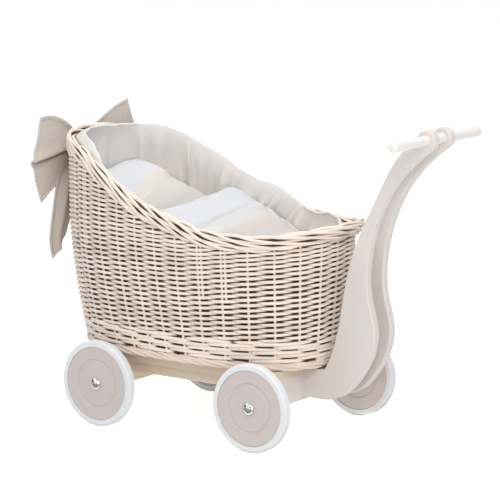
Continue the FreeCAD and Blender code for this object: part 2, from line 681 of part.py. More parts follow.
def export(nodes):
    """Write one STEP file per node, with the origin under the middle of the whole."""
    box = FreeCAD.BoundBox()
    for solids in nodes.values():
        for solid in solids:
            box.add(solid.optimalBoundingBox(False))
    shift = V(-box.Center.x, 0, -box.ZMin)
    for name, solids in nodes.items():
        shape = Part.makeCompound(solids) if len(solids) > 1 else solids[0]
        shape = shape.copy()
        shape.translate(shift)
        shape.exportStep(f"parts/{name}.step")
        broken = [s for s in solids if not s.isValid() or s.ShapeType not in ("Solid", "Compound")]
        print(f"{name:24s} {len(solids)} solids, {sum(s.Volume for s in solids):12.0f} mm3",
              "NOT VALID" if broken else "")
    print("origin moved by", shift, "size", box.XLength, box.YLength, box.ZLength)


export(build())
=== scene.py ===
"""Looks of the wicker doll stroller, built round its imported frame.

Every length is in metres, unless a comment says mm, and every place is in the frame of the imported
model: the head end of the basket points to -X, the push handle stands at +X, left is -Y and the floor
is z = 0.
"""

import logging
import math
import random
from contextlib import contextmanager
from dataclasses import dataclass, field
from enum import Enum
from typing import Callable, Iterable, Iterator, Sequence

import bmesh
import bpy
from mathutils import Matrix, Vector, noise


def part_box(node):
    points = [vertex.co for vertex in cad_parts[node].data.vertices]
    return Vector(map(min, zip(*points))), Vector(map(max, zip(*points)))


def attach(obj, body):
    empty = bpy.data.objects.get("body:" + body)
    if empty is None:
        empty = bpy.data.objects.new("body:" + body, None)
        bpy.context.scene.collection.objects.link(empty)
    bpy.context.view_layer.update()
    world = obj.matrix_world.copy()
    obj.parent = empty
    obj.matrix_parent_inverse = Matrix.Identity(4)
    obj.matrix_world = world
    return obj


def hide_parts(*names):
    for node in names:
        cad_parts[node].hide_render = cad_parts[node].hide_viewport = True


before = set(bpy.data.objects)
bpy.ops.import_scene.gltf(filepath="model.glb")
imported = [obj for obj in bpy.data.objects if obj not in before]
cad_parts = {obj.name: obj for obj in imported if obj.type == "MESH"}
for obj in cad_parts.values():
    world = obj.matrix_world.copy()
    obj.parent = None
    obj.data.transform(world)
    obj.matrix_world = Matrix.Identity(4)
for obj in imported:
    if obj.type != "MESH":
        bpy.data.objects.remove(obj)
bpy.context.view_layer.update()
LOG = logging.getLogger("doll_stroller")
TURN = 2 * math.pi
MM = 0.001
UP = Vector((0, 0, 1))
CHASSIS = "chassis"

Piece = bpy.types.Object
Material = bpy.types.Material
Socket = bpy.types.NodeSocket
Colour = tuple[float, float, float]
Line = Sequence[tuple[float, float]]
Ring = tuple[Vector, Vector, Vector]


# ---------------------------------------------------------------------------- shared bench work
def deselect() -> None:
    """Leaves nothing selected."""
    for obj in bpy.context.selected_objects:
        obj.select_set(False)


def pick(obj: Piece) -> None:
    """Makes one object the only selected and the active one.

    Args:
        obj: The object.
    """
    deselect()
    obj.select_set(True)
    bpy.context.view_layer.objects.active = obj


def stand(name: str, data: bpy.types.ID) -> Piece:
    """Puts a new object with its data into the scene.

    Args:
        name: Name of the new object.
        data: Its mesh, curve, camera or light.

    Returns:
        The object.
    """
    obj = bpy.data.objects.new(name, data)
    bpy.context.scene.collection.objects.link(obj)
    return obj


def primitive(operator: Callable[..., object], name: str, **settings: object) -> Piece:
    """Adds a mesh primitive with nothing else selected.

    Args:
        operator: The operator that adds it.
        name: Name of the new object.
        **settings: Size and place for the operator.

    Returns:
        The new object.
    """
    deselect()
    operator(**settings)
    obj = bpy.context.view_layer.objects.active
    obj.name = name
    return obj


@contextmanager
def reshaped(obj: Piece) -> Iterator[bmesh.types.BMesh]:
    """Opens a mesh for edits and writes it back after them.

    Args:
        obj: The mesh object.

    Yields:
        The mesh, open for edits.
    """
    mesh = bmesh.new()
    mesh.from_mesh(obj.data)
    yield mesh
    mesh.to_mesh(obj.data)
    mesh.free()


def apply_modifier(obj: Piece, kind: str, **settings: object) -> None:
    """Adds a modifier with its settings and applies it.

    Args:
        obj: The mesh object.
        kind: The modifier's type, such as BEVEL.
        **settings: Values of the modifier's properties.
    """
    pick(obj)
    modifier = obj.modifiers.new(kind.lower(), kind)
    for name, value in settings.items():
        setattr(modifier, name, value)
    bpy.ops.object.modifier_apply(modifier=modifier.name)


def finish_piece(obj: Piece, replaced: Iterable[str] = ()) -> None:
    """Lets a finished piece ride on the chassis and hides the CAD nodes it stands for.

    Args:
        obj: The piece, in place.
        replaced: CAD nodes that it stands for.
    """
    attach(obj, CHASSIS)
    for node in replaced:
        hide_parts(node)
    LOG.info("%s: %d vertices on %s", obj.name, len(obj.data.vertices), CHASSIS)


def blend_value(low: float, high: float, share: float) -> float:
    """Value a share of the way from low to high."""
    return low + (high - low) * share


def blend_points(first: Sequence[float], second: Sequence[float], share: float) -> list[float]:
    """Point a share of the way from the first to the second."""
    return [blend_value(a, b, share) for a, b in zip(first, second)]


def eased(value: float, start: float, end: float) -> float:
    """0 before start, 1 after end and a smooth rise between them."""
    share = min(max((value - start) / (end - start), 0.0), 1.0)
    return share * share * (3 - 2 * share)


def bell(value: float, middle: float, reach: float) -> float:
    """1 at the middle, falling off smoothly on both sides within a reach."""
    return math.exp(-((value - middle) / reach) ** 2)


@dataclass
class Ripple:
    """A smooth, seeded unevenness along a line that closes on itself."""

    seed: int
    waves: Sequence[int]
    depth: float

    def __post_init__(self) -> None:
        """Draws the phase and the share of each wave."""
        dice = random.Random(self.seed)
        self.parts = [(wave, dice.uniform(0, TURN), dice.uniform(0.5, 1.0)) for wave in self.waves]

    def at(self, share: float) -> float:
        """Height of the unevenness at a share of the line."""
        total = sum(size * math.sin(TURN * wave * share + phase) for wave, phase, size in self.parts)
        return self.depth * total / len(self.parts)


# ---------------------------------------------------------------------------- finishes
class NodeBench:
    """Short names for building a tree of shader nodes."""

    def __init__(self, tree: bpy.types.NodeTree) -> None:
        """Empties the tree."""
        self.tree = tree
        tree.nodes.clear()

    def add(self, kind: str, **settings: object) -> bpy.types.Node:
        """Adds a node.

        Args:
            kind: The node's type.
            **settings: Its properties, or its inputs by name.

        Returns:
            The node.
        """
        node = self.tree.nodes.new(kind)
        for name, value in settings.items():
            if hasattr(node, name):
                setattr(node, name, value)
            else:
                node.inputs[name].default_value = value
        return node

    def link(self, source: Socket, target: Socket) -> None:
        """Joins two sockets."""
        self.tree.links.new(source, target)

    def give(self, target: Socket, value: object) -> None:
        """Feeds an input from a socket, or with a number or a linear colour.

        Args:
            target: The input.
            value: Socket, number, or the three numbers of a colour.
        """
        if isinstance(value, Socket):
            self.link(value, target)
        else:
            target.default_value = (*value, 1.0) if isinstance(value, tuple) else value

    def join(self, kind: str, *sources: object, **settings: object) -> Socket:
        """Adds a node that is fed in the order of its inputs.

        Args:
            kind: The node's type.
            *sources: Sockets or values.
            **settings: Its properties.

        Returns:
            The node's first output.
        """
        node = self.add(kind, **settings)
        for target, source in zip(node.inputs, sources):
            self.give(target, source)
        return node.outputs[0]

    def math(self, operation: str, first: object, second: object) -> Socket:
        """One sum of two sockets or numbers."""
        return self.join("ShaderNodeMath", first, second, operation=operation)

    def show(self, kind: str, surface: Socket) -> None:
        """Adds the tree's output node and feeds it."""
        self.link(surface, self.add(kind).inputs["Surface"])

    def seen_rays(self) -> Socket:
        """1 for rays straight from the camera, off a mirror or through glass.

        Returns:
            The factor.
        """
        path = self.add("ShaderNodeLightPath")
        total = path.outputs["Is Camera Ray"]
        for name in ("Is Glossy Ray", "Is Transmission Ray"):
            total = self.math("MAXIMUM", total, path.outputs[name])
        return total


class FinishBench(NodeBench):
    """Short names for the nodes that the finishes are made of."""

    def __init__(self, name: str) -> None:
        """Starts a material of this name with a lone Principled shader.

        Args:
            name: Name of the material.
        """
        self.material = bpy.data.materials.new(name)
        self.material.use_nodes = True
        super().__init__(self.material.node_tree)
        self.shader = self.add("ShaderNodeBsdfPrincipled")
        self.show("ShaderNodeOutputMaterial", self.shader.outputs["BSDF"])

    def set(self, **values: object) -> None:
        """Sets inputs of the shader; an underscore in a name stands for a space."""
        for name, value in values.items():
            self.shader.inputs[name.replace("_", " ")].default_value = value

    def place(self, scale: Sequence[float] = (1, 1, 1), source: str = "Object") -> Socket:
        """Coordinates of the surface, scaled.

        Args:
            scale: Factors along the three axes.
            source: Output of the Texture Coordinate node: Object or UV.

        Returns:
            The scaled coordinates.
        """
        where = self.add("ShaderNodeTexCoord")
        mapping = self.add("ShaderNodeMapping", Scale=scale)
        self.link(where.outputs[source], mapping.inputs["Vector"])
        return mapping.outputs["Vector"]

    def texture(self, kind: str, where: Socket, output: str = "Fac", **settings: object) -> Socket:
        """A texture over a place.

        Args:
            kind: End of the node's type, such as Noise.
            where: Coordinates.
            output: Name of the output to use.
            **settings: The texture's properties and inputs.

        Returns:
            The output.
        """
        node = self.add(f"ShaderNodeTex{kind}", **settings)
        self.link(where, node.inputs["Vector"])
        return node.outputs[output]

    def noise(self, where: Socket, scale: float, detail: float = 3.0) -> Socket:
        """Noise from 0 to 1 over a place."""
        return self.texture("Noise", where, Scale=scale, Detail=detail)

    def threads(self, where: Socket, scale: float, across: str) -> Socket:
        """Two sets of slightly uneven threads that cross, the second in the direction named.

        Args:
            where: Coordinates.
            scale: Fineness of the threads.
            across: Direction of the second set, such as Y.

        Returns:
            How much thread there is, from 0 to 1.
        """
        warp, weft = (self.texture("Wave", where, bands_direction=axis, Scale=scale, Distortion=1.5)
                      for axis in ("X", across))
        return self.math("MAXIMUM", warp, weft)

    def attribute(self, name: str) -> Socket:
        """A number stored on the mesh."""
        return self.add("ShaderNodeAttribute", attribute_name=name).outputs["Fac"]

    def ramp(self, factor: Socket, stops: Sequence[tuple[float, Colour]]) -> Socket:
        """Colour that runs through stops.

        Args:
            factor: Place on the ramp, from 0 to 1.
            stops: Each a place and its linear colour.

        Returns:
            The colour.
        """
        node = self.add("ShaderNodeValToRGB")
        bands = node.color_ramp.elements
        while len(bands) < len(stops):
            bands.new(0.5)
        for band, (position, colour) in zip(bands, stops):
            band.position = position
            band.color = (*colour, 1.0)
        self.link(factor, node.inputs["Fac"])
        return node.outputs["Color"]

    def mix(self, factor: Socket, first: object, second: object) -> Socket:
        """Mixes two colours, each a socket or a linear colour, by a factor from 0 to 1.

        Args:
            factor: Share of the second colour.
            first: Socket or colour.
            second: Socket or colour.

        Returns:
            The mixed colour.
        """
        node = self.add("ShaderNodeMix", data_type="RGBA")
        ends = [socket for socket in node.inputs if socket.type == "RGBA"]
        for socket, value in zip([node.inputs["Factor"], *ends], (factor, first, second)):
            self.give(socket, value)
        return next(socket for socket in node.outputs if socket.type == "RGBA")

    def colour(self, socket: Socket) -> None:
        """Feeds the shader's base colour."""
        self.link(socket, self.shader.inputs["Base Color"])

    def roughness(self, socket: Socket, low: float, high: float) -> None:
        """Feeds the roughness from a value, spread between two limits.

        Args:
            socket: Value from 0 to 1.
            low: Roughness at 0.
            high: Roughness at 1.
        """
        node = self.add("ShaderNodeMapRange")
        node.inputs["To Min"].default_value = low
        node.inputs["To Max"].default_value = high
        self.link(socket, node.inputs["Value"])
        self.link(node.outputs["Result"], self.shader.inputs["Roughness"])

    def bump(self, height: Socket, distance: float, strength: float = 0.5) -> None:
        """Raises the surface by a height from 0 to 1 times a distance in metres.

        Args:
            height: Height from 0 to 1.
            distance: What a height of 1 stands for.
            strength: Share of it that shows.
        """
        node = self.add("ShaderNodeBump", Strength=strength, Distance=distance)
        self.link(height, node.inputs["Height"])
        self.link(node.outputs["Normal"], self.shader.inputs["Normal"])


@dataclass(frozen=True)
class Paint:
    """Satin paint on wood: faint cloudiness, brush marks and the grain below."""

    name: str
    colour: Colour
    cloud: Colour
    grain: Sequence[float] = (6.0, 60.0, 60.0)

    def material(self) -> Material:
        """Builds the finish.

        Returns:
            The material.
        """
        bench = FinishBench(self.name)
        clouds = bench.noise(bench.place(), scale=9.0)
        grain = bench.noise(bench.place(self.grain), scale=9.0, detail=5.0)
        bench.colour(bench.mix(clouds, self.colour, self.cloud))
        bench.roughness(grain, 0.36, 0.5)
        bench.bump(grain, distance=0.00012)
        bench.set(Specular_IOR_Level=0.42)
        return bench.material


@dataclass(frozen=True)
class Willow:
    """Peeled, whitewashed willow: each rod has its own tone, and painted shade darkens it where it lies
    behind the weave.
    """

    name: str = "willow_rods"
    pale: Colour = (0.925, 0.825, 0.735)
    middle: Colour = (0.855, 0.74, 0.64)
    warm: Colour = (0.76, 0.62, 0.52)
    # Colour of the painted shade, near black, where a rod lies behind the weave.
    depth: Colour = (0.060, 0.027, 0.014)

    def material(self) -> Material:
        """Builds the finish.

        Returns:
            The material.
        """
        bench = FinishBench(self.name)
        rod = bench.ramp(bench.attribute("tone"), ((0.0, self.warm), (0.45, self.middle), (1.0, self.pale)))
        streaks = bench.noise(bench.place((180, 5, 1), "UV"), scale=1.6, detail=4.0)
        streaked = bench.mix(bench.math("MULTIPLY", streaks, 0.35), rod, self.pale)
        # Painted shade: the stored shade draws each rod's colour towards the depth colour.
        bench.colour(bench.mix(bench.attribute("shade"), streaked, self.depth))
        bench.roughness(streaks, 0.48, 0.68)
        bench.bump(streaks, distance=0.0002, strength=0.4)
        bench.set(Specular_IOR_Level=0.35)
        return bench.material


@dataclass(frozen=True)
class Cloth:
    """Woven cloth: crossing threads, slubs, and a soft sheen."""

    name: str
    colour: Colour
    slub: Colour
    source: str = "Object"
    thread: float = 0.0007
    sheen: float = 0.25

    def material(self) -> Material:
        """Builds the finish.

        Returns:
            The material.
        """
        bench = FinishBench(self.name)
        where = bench.place(source=self.source)
        threads = bench.threads(where, 0.3 / self.thread, "Y" if self.source == "UV" else "DIAGONAL")
        slubs = bench.noise(bench.place((40, 400, 160), self.source), scale=1.0, detail=2.0)
        clouds = bench.noise(where, scale=14.0)
        base = bench.mix(slubs, self.colour, self.slub)
        bench.colour(bench.mix(bench.math("MULTIPLY", clouds, 0.3), base, self.slub))
        bench.bump(bench.math("ADD", threads, bench.math("MULTIPLY", slubs, 0.8)), distance=0.00018)
        bench.set(Roughness=0.9, Sheen_Weight=self.sheen, Sheen_Roughness=0.5, Specular_IOR_Level=0.2)
        return bench.material


@dataclass(frozen=True)
class Rubber:
    """Matte white rubber with a faint moulding grain."""

    name: str = "white_rubber"
    colour: Colour = (0.80, 0.815, 0.825)
    dull: Colour = (0.72, 0.735, 0.745)

    def material(self) -> Material:
        """Builds the finish.

        Returns:
            The material.
        """
        bench = FinishBench(self.name)
        where = bench.place()
        bench.colour(bench.mix(bench.noise(where, scale=22.0), self.colour, self.dull))
        bench.bump(bench.noise(where, scale=900.0, detail=1.0), distance=0.0001, strength=0.35)
        bench.set(Roughness=0.55, Specular_IOR_Level=0.4)
        return bench.material


@dataclass(frozen=True)
class Metal:
    """Plated or polished metal with fine scratches."""

    name: str
    colour: Colour
    rough: tuple[float, float]

    def material(self) -> Material:
        """Builds the finish.

        Returns:
            The material.
        """
        bench = FinishBench(self.name)
        scratches = bench.noise(bench.place((60, 900, 60)), scale=3.0, detail=4.0)
        bench.colour(bench.mix(scratches, self.colour, tuple(0.93 * c for c in self.colour)))
        bench.roughness(scratches, *self.rough)
        bench.set(Metallic=1.0)
        return bench.material


@dataclass(frozen=True)
class Patchwork:
    """Cotton bedding sewn of three stretches along X: head, band and foot.

    The band runs from start to end, on a line that turns with y, and may be pierced like lace.
    """

    name: str
    head: Colour
    band: Colour
    foot: Colour
    start: float
    end: float
    turn: float
    lacy: bool

    def material(self) -> Material:
        """Builds the finish.

        Returns:
            The material.
        """
        bench = FinishBench(self.name)
        spot = bench.add("ShaderNodeTexCoord").outputs["Object"]
        parts = bench.add("ShaderNodeSeparateXYZ")
        bench.link(spot, parts.inputs["Vector"])
        run = bench.math("ADD", parts.outputs["X"], bench.math("MULTIPLY", parts.outputs["Y"], self.turn))
        past_start, past_end = (bench.math("GREATER_THAN", run, edge) for edge in (self.start, self.end))
        where = bench.place()
        threads = bench.threads(where, 430.0, "Y")
        slubs = bench.noise(bench.place((60, 300, 60)), scale=1.0, detail=2.0)
        colour = bench.mix(past_end, bench.mix(past_start, self.head, self.band), self.foot)
        shade = bench.math("MULTIPLY", slubs, 0.12)
        if self.lacy:
            eyes = bench.texture("Voronoi", where, "Distance", Scale=260.0)
            inside = bench.math("SUBTRACT", past_start, past_end)
            holes = bench.math("MULTIPLY", inside, bench.math("LESS_THAN", eyes, 0.28))
            shade = bench.math("ADD", shade, bench.math("MULTIPLY", holes, 0.25))
        bench.colour(bench.mix(shade, colour, tuple(0.6 * c for c in self.foot)))
        bench.bump(bench.math("ADD", threads, slubs), distance=0.00014)
        bench.set(Roughness=0.88, Sheen_Weight=0.3, Sheen_Roughness=0.5, Specular_IOR_Level=0.2)
        return bench.material


class Finish(Enum):
    """The finishes of the stroller; the value builds the material."""

    BOARD_PAINT = Paint("board_paint", (0.735, 0.68, 0.645), (0.70, 0.645, 0.61))
    # Board paint made tan and darker for the parts under the basket: painted shade and warm bounce light, not
    # a second paint.
    CHASSIS_PAINT = Paint("chassis_paint", (0.75, 0.635, 0.50), (0.71, 0.595, 0.465))
    WHEEL_PAINT = Paint("wheel_satin", (0.62, 0.555, 0.53), (0.595, 0.53, 0.505), (30.0, 8.0, 30.0))
    HANDLE_PAINT = Paint("handle_paint", (0.87, 0.835, 0.80), (0.84, 0.80, 0.765), (60.0, 6.0, 60.0))
    WILLOW = Willow()
    RUBBER = Rubber()
    CHROME = Metal("chrome_plate", (0.82, 0.82, 0.83), (0.10, 0.2))
    ZINC = Metal("zinc_plate", (0.62, 0.63, 0.64), (0.32, 0.46))
    LINING = Cloth("lining_front", (0.725, 0.685, 0.65), (0.68, 0.635, 0.595), "UV", sheen=0.12)
    # The lining's back is near black: painted shade that makes the gaps of the weave dark.
    PAINTED_SHADE_BACK = Cloth("lining_back_painted_shade", (0.052, 0.025, 0.014), (0.040, 0.019, 0.010), "UV", sheen=0.0)
    PIPING = Cloth("piping_cord", (0.83, 0.835, 0.845), (0.78, 0.785, 0.80), sheen=0.1)
    WHITE = Cloth("white_cotton", (0.82, 0.835, 0.87), (0.78, 0.79, 0.83))
    PILLOW = Patchwork("pillow_cotton", (0.75, 0.76, 0.80), (0.79, 0.735, 0.675), (0.70, 0.66, 0.615),
                       start=-0.219, end=-0.198, turn=0.31, lacy=True)
    DUVET = Patchwork("duvet_cotton", (0.72, 0.73, 0.77), (0.77, 0.755, 0.745), (0.72, 0.665, 0.62),
                      start=-0.038, end=-0.019, turn=0.06, lacy=False)
    BOW = Cloth("bow_cloth", (0.66, 0.60, 0.54), (0.60, 0.54, 0.48), sheen=0.1)

    def dress(self, obj: Piece) -> None:
        """Gives an object this finish alone."""
        obj.data.materials.clear()
        obj.data.materials.append(self.built())

    def built(self) -> Material:
        """The material, made at its first use."""
        return bpy.data.materials.get(self.value.name) or self.value.material()


# ---------------------------------------------------------------------------- rods
@dataclass
class Rod:
    """One willow rod: its line, and at each point its radius, tone and painted shade."""

    closed: bool = False
    points: list[Vector] = field(default_factory=list)
    radii: list[float] = field(default_factory=list)
    tones: list[float] = field(default_factory=list)
    shades: list[float] = field(default_factory=list)

    def add(self, spot: Vector, radius: float, tone: float, shade: float = 0.0) -> None:
        """Leads the rod on to a point.

        Args:
            spot: The point.
            radius: Its radius there.
            tone: From 0, the warmest willow, to 1, the palest.
            shade: Painted shade, from 0, in the light, to 1, in the dark behind the weave.
        """
        self.points.append(spot)
        self.radii.append(radius)
        self.tones.append(tone)
        self.shades.append(shade)

    def tapered(self) -> "Rod":
        """This rod, with its ends drawn to a tip where it is open.

        Returns:
            The rod.
        """
        if not self.closed:
            self.radii[0] = self.radii[-1] = 0.0
        return self


@dataclass
class RodBundle:
    """Makes one mesh of many rods that share a number of sides."""

    name: str
    rods: list[Rod]
    resolution: int = 2

    def build(self) -> Piece:
        """Bends the rods as bevelled curves and turns them into one mesh.

        Returns:
            The mesh object, with tone and painted shade stored at its points.
        """
        curve = bpy.data.curves.new(self.name, "CURVE")
        curve.dimensions = "3D"
        curve.bevel_depth = 1.0
        curve.bevel_resolution = self.resolution
        for rod in self.rods:
            spline = curve.splines.new("POLY")
            spline.points.add(len(rod.points) - 1)
            for knot, place, radius in zip(spline.points, rod.points, rod.radii):
                knot.co = (*place, 1.0)
                knot.radius = radius
            spline.use_cyclic_u = rod.closed
        pick(stand(self.name, curve))
        bpy.ops.object.convert(target="MESH")
        obj = bpy.context.view_layer.objects.active
        sides = len(obj.data.vertices) // sum(len(rod.points) for rod in self.rods)
        for kind in ("tone", "shade"):
            values = [value for rod in self.rods for value in getattr(rod, kind + "s") for _ in range(sides)]
            store = obj.data.attributes.new(kind, "FLOAT", "POINT")
            store.data.foreach_set("value", values)
        self._close_tips(obj)
        obj.data.shade_smooth()
        Finish.WILLOW.dress(obj)
        return obj

    def _close_tips(self, obj: Piece) -> None:
        """Welds the tapered tips of open rods.

        Args:
            obj: The rods' mesh.
        """
        if all(rod.closed for rod in self.rods):
            return
        with reshaped(obj) as mesh:
            bmesh.ops.remove_doubles(mesh, verts=[v for v in mesh.verts if v.is_boundary], dist=1e-6)


# ---------------------------------------------------------------------------- the basket's form
@dataclass
class BasketForm:
    """The basket's outline, read from the frame: superellipses from foot to waist, and a swept rim."""

    foot_squareness: float = 2.8
    waist_squareness: float = 2.35
    rim_squareness: float = 2.3
    waist_height: float = 0.212
    flare: float = 1.53
    wall: float = 0.009
    border_proud: float = 0.0015
    waist_shift: float = -0.0136
    band: float = 0.031
    rim_thickness: float = 0.013
    # The rim's sweep: share of its length from the head end, and of its rise from its foot.
    sweep: Line = ((0.0, 1.0), (0.10, 0.925), (0.18, 0.845), (0.27, 0.65), (0.41, 0.352), (0.55, 0.16),
                   (0.66, 0.035), (0.75, 0.0), (0.86, 0.0), (1.0, 0.10))
    chords: int = 1440

    def __post_init__(self) -> None:
        """Reads the lengths from the frame."""
        low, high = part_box("basket_foot_border")
        self.foot_z = low.z
        self.border_z = high.z
        self.foot = ((low.x + high.x) / 2, high.x - low.x - 2 * self.border_proud,
                     high.y - low.y - 2 * self.border_proud, self.foot_squareness)
        low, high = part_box("basket_wall")
        centre = self.foot[0] + self.waist_shift
        self.waist = (centre, 2 * (centre - low.x), high.y - low.y, self.waist_squareness)
        low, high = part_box("basket_rim")
        self.rim = ((low.x + high.x) / 2, high.x - low.x - self.rim_thickness,
                    high.y - low.y - self.rim_thickness, self.rim_squareness)
        self.rim_head_z = high.z
        self.rim_foot_z = low.z + self.band

    @staticmethod
    def _outline(angle: float, dims: Sequence[float], inset: float) -> tuple[float, float]:
        """Point of a superellipse.

        Args:
            angle: Its direction from the middle.
            dims: Centre on X, length, width and squareness.
            inset: How far inside the outline it lies.

        Returns:
            Its x and y.
        """
        centre, length, width, squareness = dims
        half_length, half_width = length / 2 - inset, width / 2 - inset
        c, s = math.cos(angle), math.sin(angle)
        reach = (abs(c / half_length) ** squareness + abs(s / half_width) ** squareness) ** (-1 / squareness)
        return centre + reach * c, reach * s

    def wall_at(self, angle: float, z: float, inset: float = 0.0) -> Vector:
        """Point of the basket's outer surface, or inset from it.

        Args:
            angle: Direction from the middle.
            z: Its height.
            inset: How far inside the surface it lies.

        Returns:
            The point.
        """
        height = min(max((z - self.foot_z) / self.waist_height, 0.0), 1.0)
        dims = blend_points(self.foot, self.waist, 1 - (1 - height) ** self.flare)
        return Vector((*self._outline(angle, dims, inset), z))

    def rim_at(self, angle: float) -> Vector:
        """Top of the rim's centre line."""
        x, y = self._outline(angle, self.rim, 0.0)
        return Vector((x, y, self.rim_top(x)))

    def rim_top(self, x: float) -> float:
        """Height of the rim's top: a smooth curve through the stations of the sweep.

        Args:
            x: Place along the basket.

        Returns:
            The height.
        """
        centre, length = self.rim[:2]
        u = min(max((x - centre + length / 2) / length, 0.0), 1.0)
        i = max(k for k in range(len(self.sweep) - 1) if self.sweep[k][0] <= u)

        def slope(k: int) -> float:
            """Slope of the curve at a station, from its neighbours."""
            low, high = self.sweep[max(k - 1, 0)], self.sweep[min(k + 1, len(self.sweep) - 1)]
            return (high[1] - low[1]) / (high[0] - low[0])

        (u0, v0), (u1, v1) = self.sweep[i], self.sweep[i + 1]
        step = u1 - u0
        t = (u - u0) / step
        share = ((2 * t ** 3 - 3 * t ** 2 + 1) * v0 + (t ** 3 - 2 * t ** 2 + t) * step * slope(i)
                 + (3 * t ** 2 - 2 * t ** 3) * v1 + (t ** 3 - t ** 2) * step * slope(i + 1))
        return blend_value(self.rim_foot_z, self.rim_head_z, share)

    def outward(self, angle: float, z: float) -> Vector:
        """Level direction straight out of the wall."""
        along = self.wall_at(angle + 0.01, z) - self.wall_at(angle - 0.01, z)
        return Vector((along.y, -along.x, 0)).normalized()

    def angles(self, count: int, z: float) -> list[float]:
        """Angles of points spaced evenly along the outline at a height, from the foot end round.

        Args:
            count: How many points.
            z: Height of the outline.

        Returns:
            The angles.
        """
        spots = [self.wall_at(TURN * i / self.chords, z) for i in range(self.chords + 1)]
        runs = [0.0]
        for here, there in zip(spots, spots[1:]):
            runs.append(runs[-1] + (there - here).length)
        found, k = [], 0
        for i in range(count):
            goal = runs[-1] * i / count
            while runs[k + 1] < goal:
                k += 1
            found.append(TURN * (k + (goal - runs[k]) / (runs[k + 1] - runs[k])) / self.chords)
        return found


# ---------------------------------------------------------------------------- the woven basket
@dataclass
class Basket:
    """The woven basket: stakes, randed rows, waled foot, plaited foot border and rolled rim."""

    form: BasketForm
    stakes: int = 32
    samples: int = 7
    stake_radius: float = 0.0022
    band_radius: float = 0.0024
    row_pitch: float = 0.0041
    row_radius: float = 0.0021
    # A rod is thicker before a stake, swings before and behind it, and lies back in the wall.
    swell: float = 0.19
    sway: float = 0.00235
    set_back: float = 0.00035
    wale_rows: int = 7
    wale_pitch: float = 0.0044
    wale_strokes: int = 11
    wale_rise: float = 0.0007
    # Rows lean towards the slope of the rim, most near it, and go a share of its band under it.
    settle: float = 0.008
    settle_reach: float = 0.04
    settle_depth: float = 0.11
    tuck: float = 0.35
    # At the foot end the rows rise, their strokes slant and their rods are thicker.
    foot_lift: float = 0.008
    slant: float = 0.0007
    foot_girth: float = 0.055
    floor_pitch: float = 0.030
    floor_track: float = 0.0046
    floor_sway: float = 0.0019
    # Where the wall turns more sharply than this, all but a share of the stakes are doubled.
    sharp_turn: float = 0.8
    undoubled: float = 0.35
    band_steps: int = 192
    dice: random.Random = field(default_factory=lambda: random.Random(11))

    def __post_init__(self) -> None:
        """Spaces the stakes round the wall, a little unevenly."""
        self.fine = self.form.angles(self.stakes * self.samples, self.form.foot_z + self.form.waist_height)
        self.wander = Ripple(5, (3, 5, 8), 0.12)

    def angle(self, place: float) -> float:
        """Angle at a place counted in stakes.

        Args:
            place: Stakes from the foot end round, which needn't be a whole number.

        Returns:
            The angle.
        """
        step = (place + self.wander.at(place / self.stakes)) * self.samples
        low = math.floor(step)
        here, there = (self.fine[k % len(self.fine)] + TURN * (k // len(self.fine)) for k in (low, low + 1))
        return blend_value(here, there, step - low)

    def rim_foot(self, angle: float) -> float:
        """Height where the wall goes under the rim."""
        return self.form.rim_at(angle).z - self.form.band

    def row_height(self, angle: float, level: float) -> float:
        """Height of a row: higher at the foot end, and leaning towards the slope of the rim near it.

        Args:
            angle: Direction from the basket's middle.
            level: Height of the row elsewhere.

        Returns:
            The height.
        """
        grown = eased(level, self.form.border_z, self.form.rim_foot_z)
        level += self.foot_lift * grown * eased(math.cos(angle), 0.25, 1.0)
        below = max(self.rim_foot(angle) - level, 0.0)
        ease = eased(level, self.form.rim_foot_z - self.settle_depth, self.form.rim_foot_z)
        return level - ease * self.settle * math.exp(-below / self.settle_reach)

    def woven(self, level: float, front: Callable[[float], float], radius: float, rise: float) -> list[Rod]:
        """Rods of one row, cut where they pass under the rim.

        Args:
            level: Height of the row.
            front: From -1, behind the stakes, to 1, before them, at a place counted in stakes.
            radius: Radius of the rod.
            rise: How far it rises along a stroke.

        Returns:
            One closed rod, or open ones for a row that is shorter than the wall.
        """
        lift = Ripple(self.dice.randrange(9999), (2, 5, 9, 14), 0.00045)
        girth = self.dice.uniform(0.93, 1.07)
        joins = sorted(self.dice.uniform(0, self.stakes) for _ in range(4))
        tones = [self.dice.betavariate(2.2, 1.8) for _ in range(5)]
        spots = []
        for step in range(self.stakes * self.samples):
            place = step / self.samples
            angle = self.angle(place)
            z = self.row_height(angle, level) + lift.at(place / self.stakes)
            z += rise * math.sin(math.pi * front(place) / 2)
            climb = front(place - 0.5) - front(place + 0.5)
            z += self.slant * climb / 2 * eased(math.cos(angle), 0.0, 0.7)
            spots.append((place, angle, z, z > self.rim_foot(angle) + self.form.band * self.tuck))
        cuts = [step for step, spot in enumerate(spots) if spot[3]]
        start = cuts[0] if cuts else 0
        runs = [Rod(not cuts)]
        for place, angle, z, hidden in spots[start:] + spots[:start]:
            if hidden:
                runs.append(Rod())
                continue
            depth = front(place)
            spot = self.form.wall_at(angle, z, self.form.wall / 2)
            spot += self.form.outward(angle, z) * (self.sway * depth - self.set_back)
            thick = 1 + self.foot_girth * eased(math.cos(angle), 0.0, 0.6)
            # The rod is painted dark with shade where it passes behind the stakes.
            runs[-1].add(spot, radius * girth * (1 + self.swell * depth) * thick,
                         tones[sum(join < place for join in joins)], 0.98 * eased(-depth, 0.0, 0.57))
        return [run.tapered() for run in runs if len(run.points) > 3]

    def rows(self) -> list[list[Rod]]:
        """Randed rows from the wale up to the head.

        Returns:
            The rods of each row, from the lowest row up.
        """
        first = self.form.border_z + self.wale_rows * self.wale_pitch
        rows = []
        for i in range(int((self.form.rim_head_z - first) / self.row_pitch)):
            def front(place: float, odd: int = i % 2) -> float:
                """Before one stake and behind the next."""
                return math.cos(math.pi * (place + odd))
            rows.append(self.woven(first + i * self.row_pitch, front, self.row_radius, 0.0))
        return [row for row in rows if row]

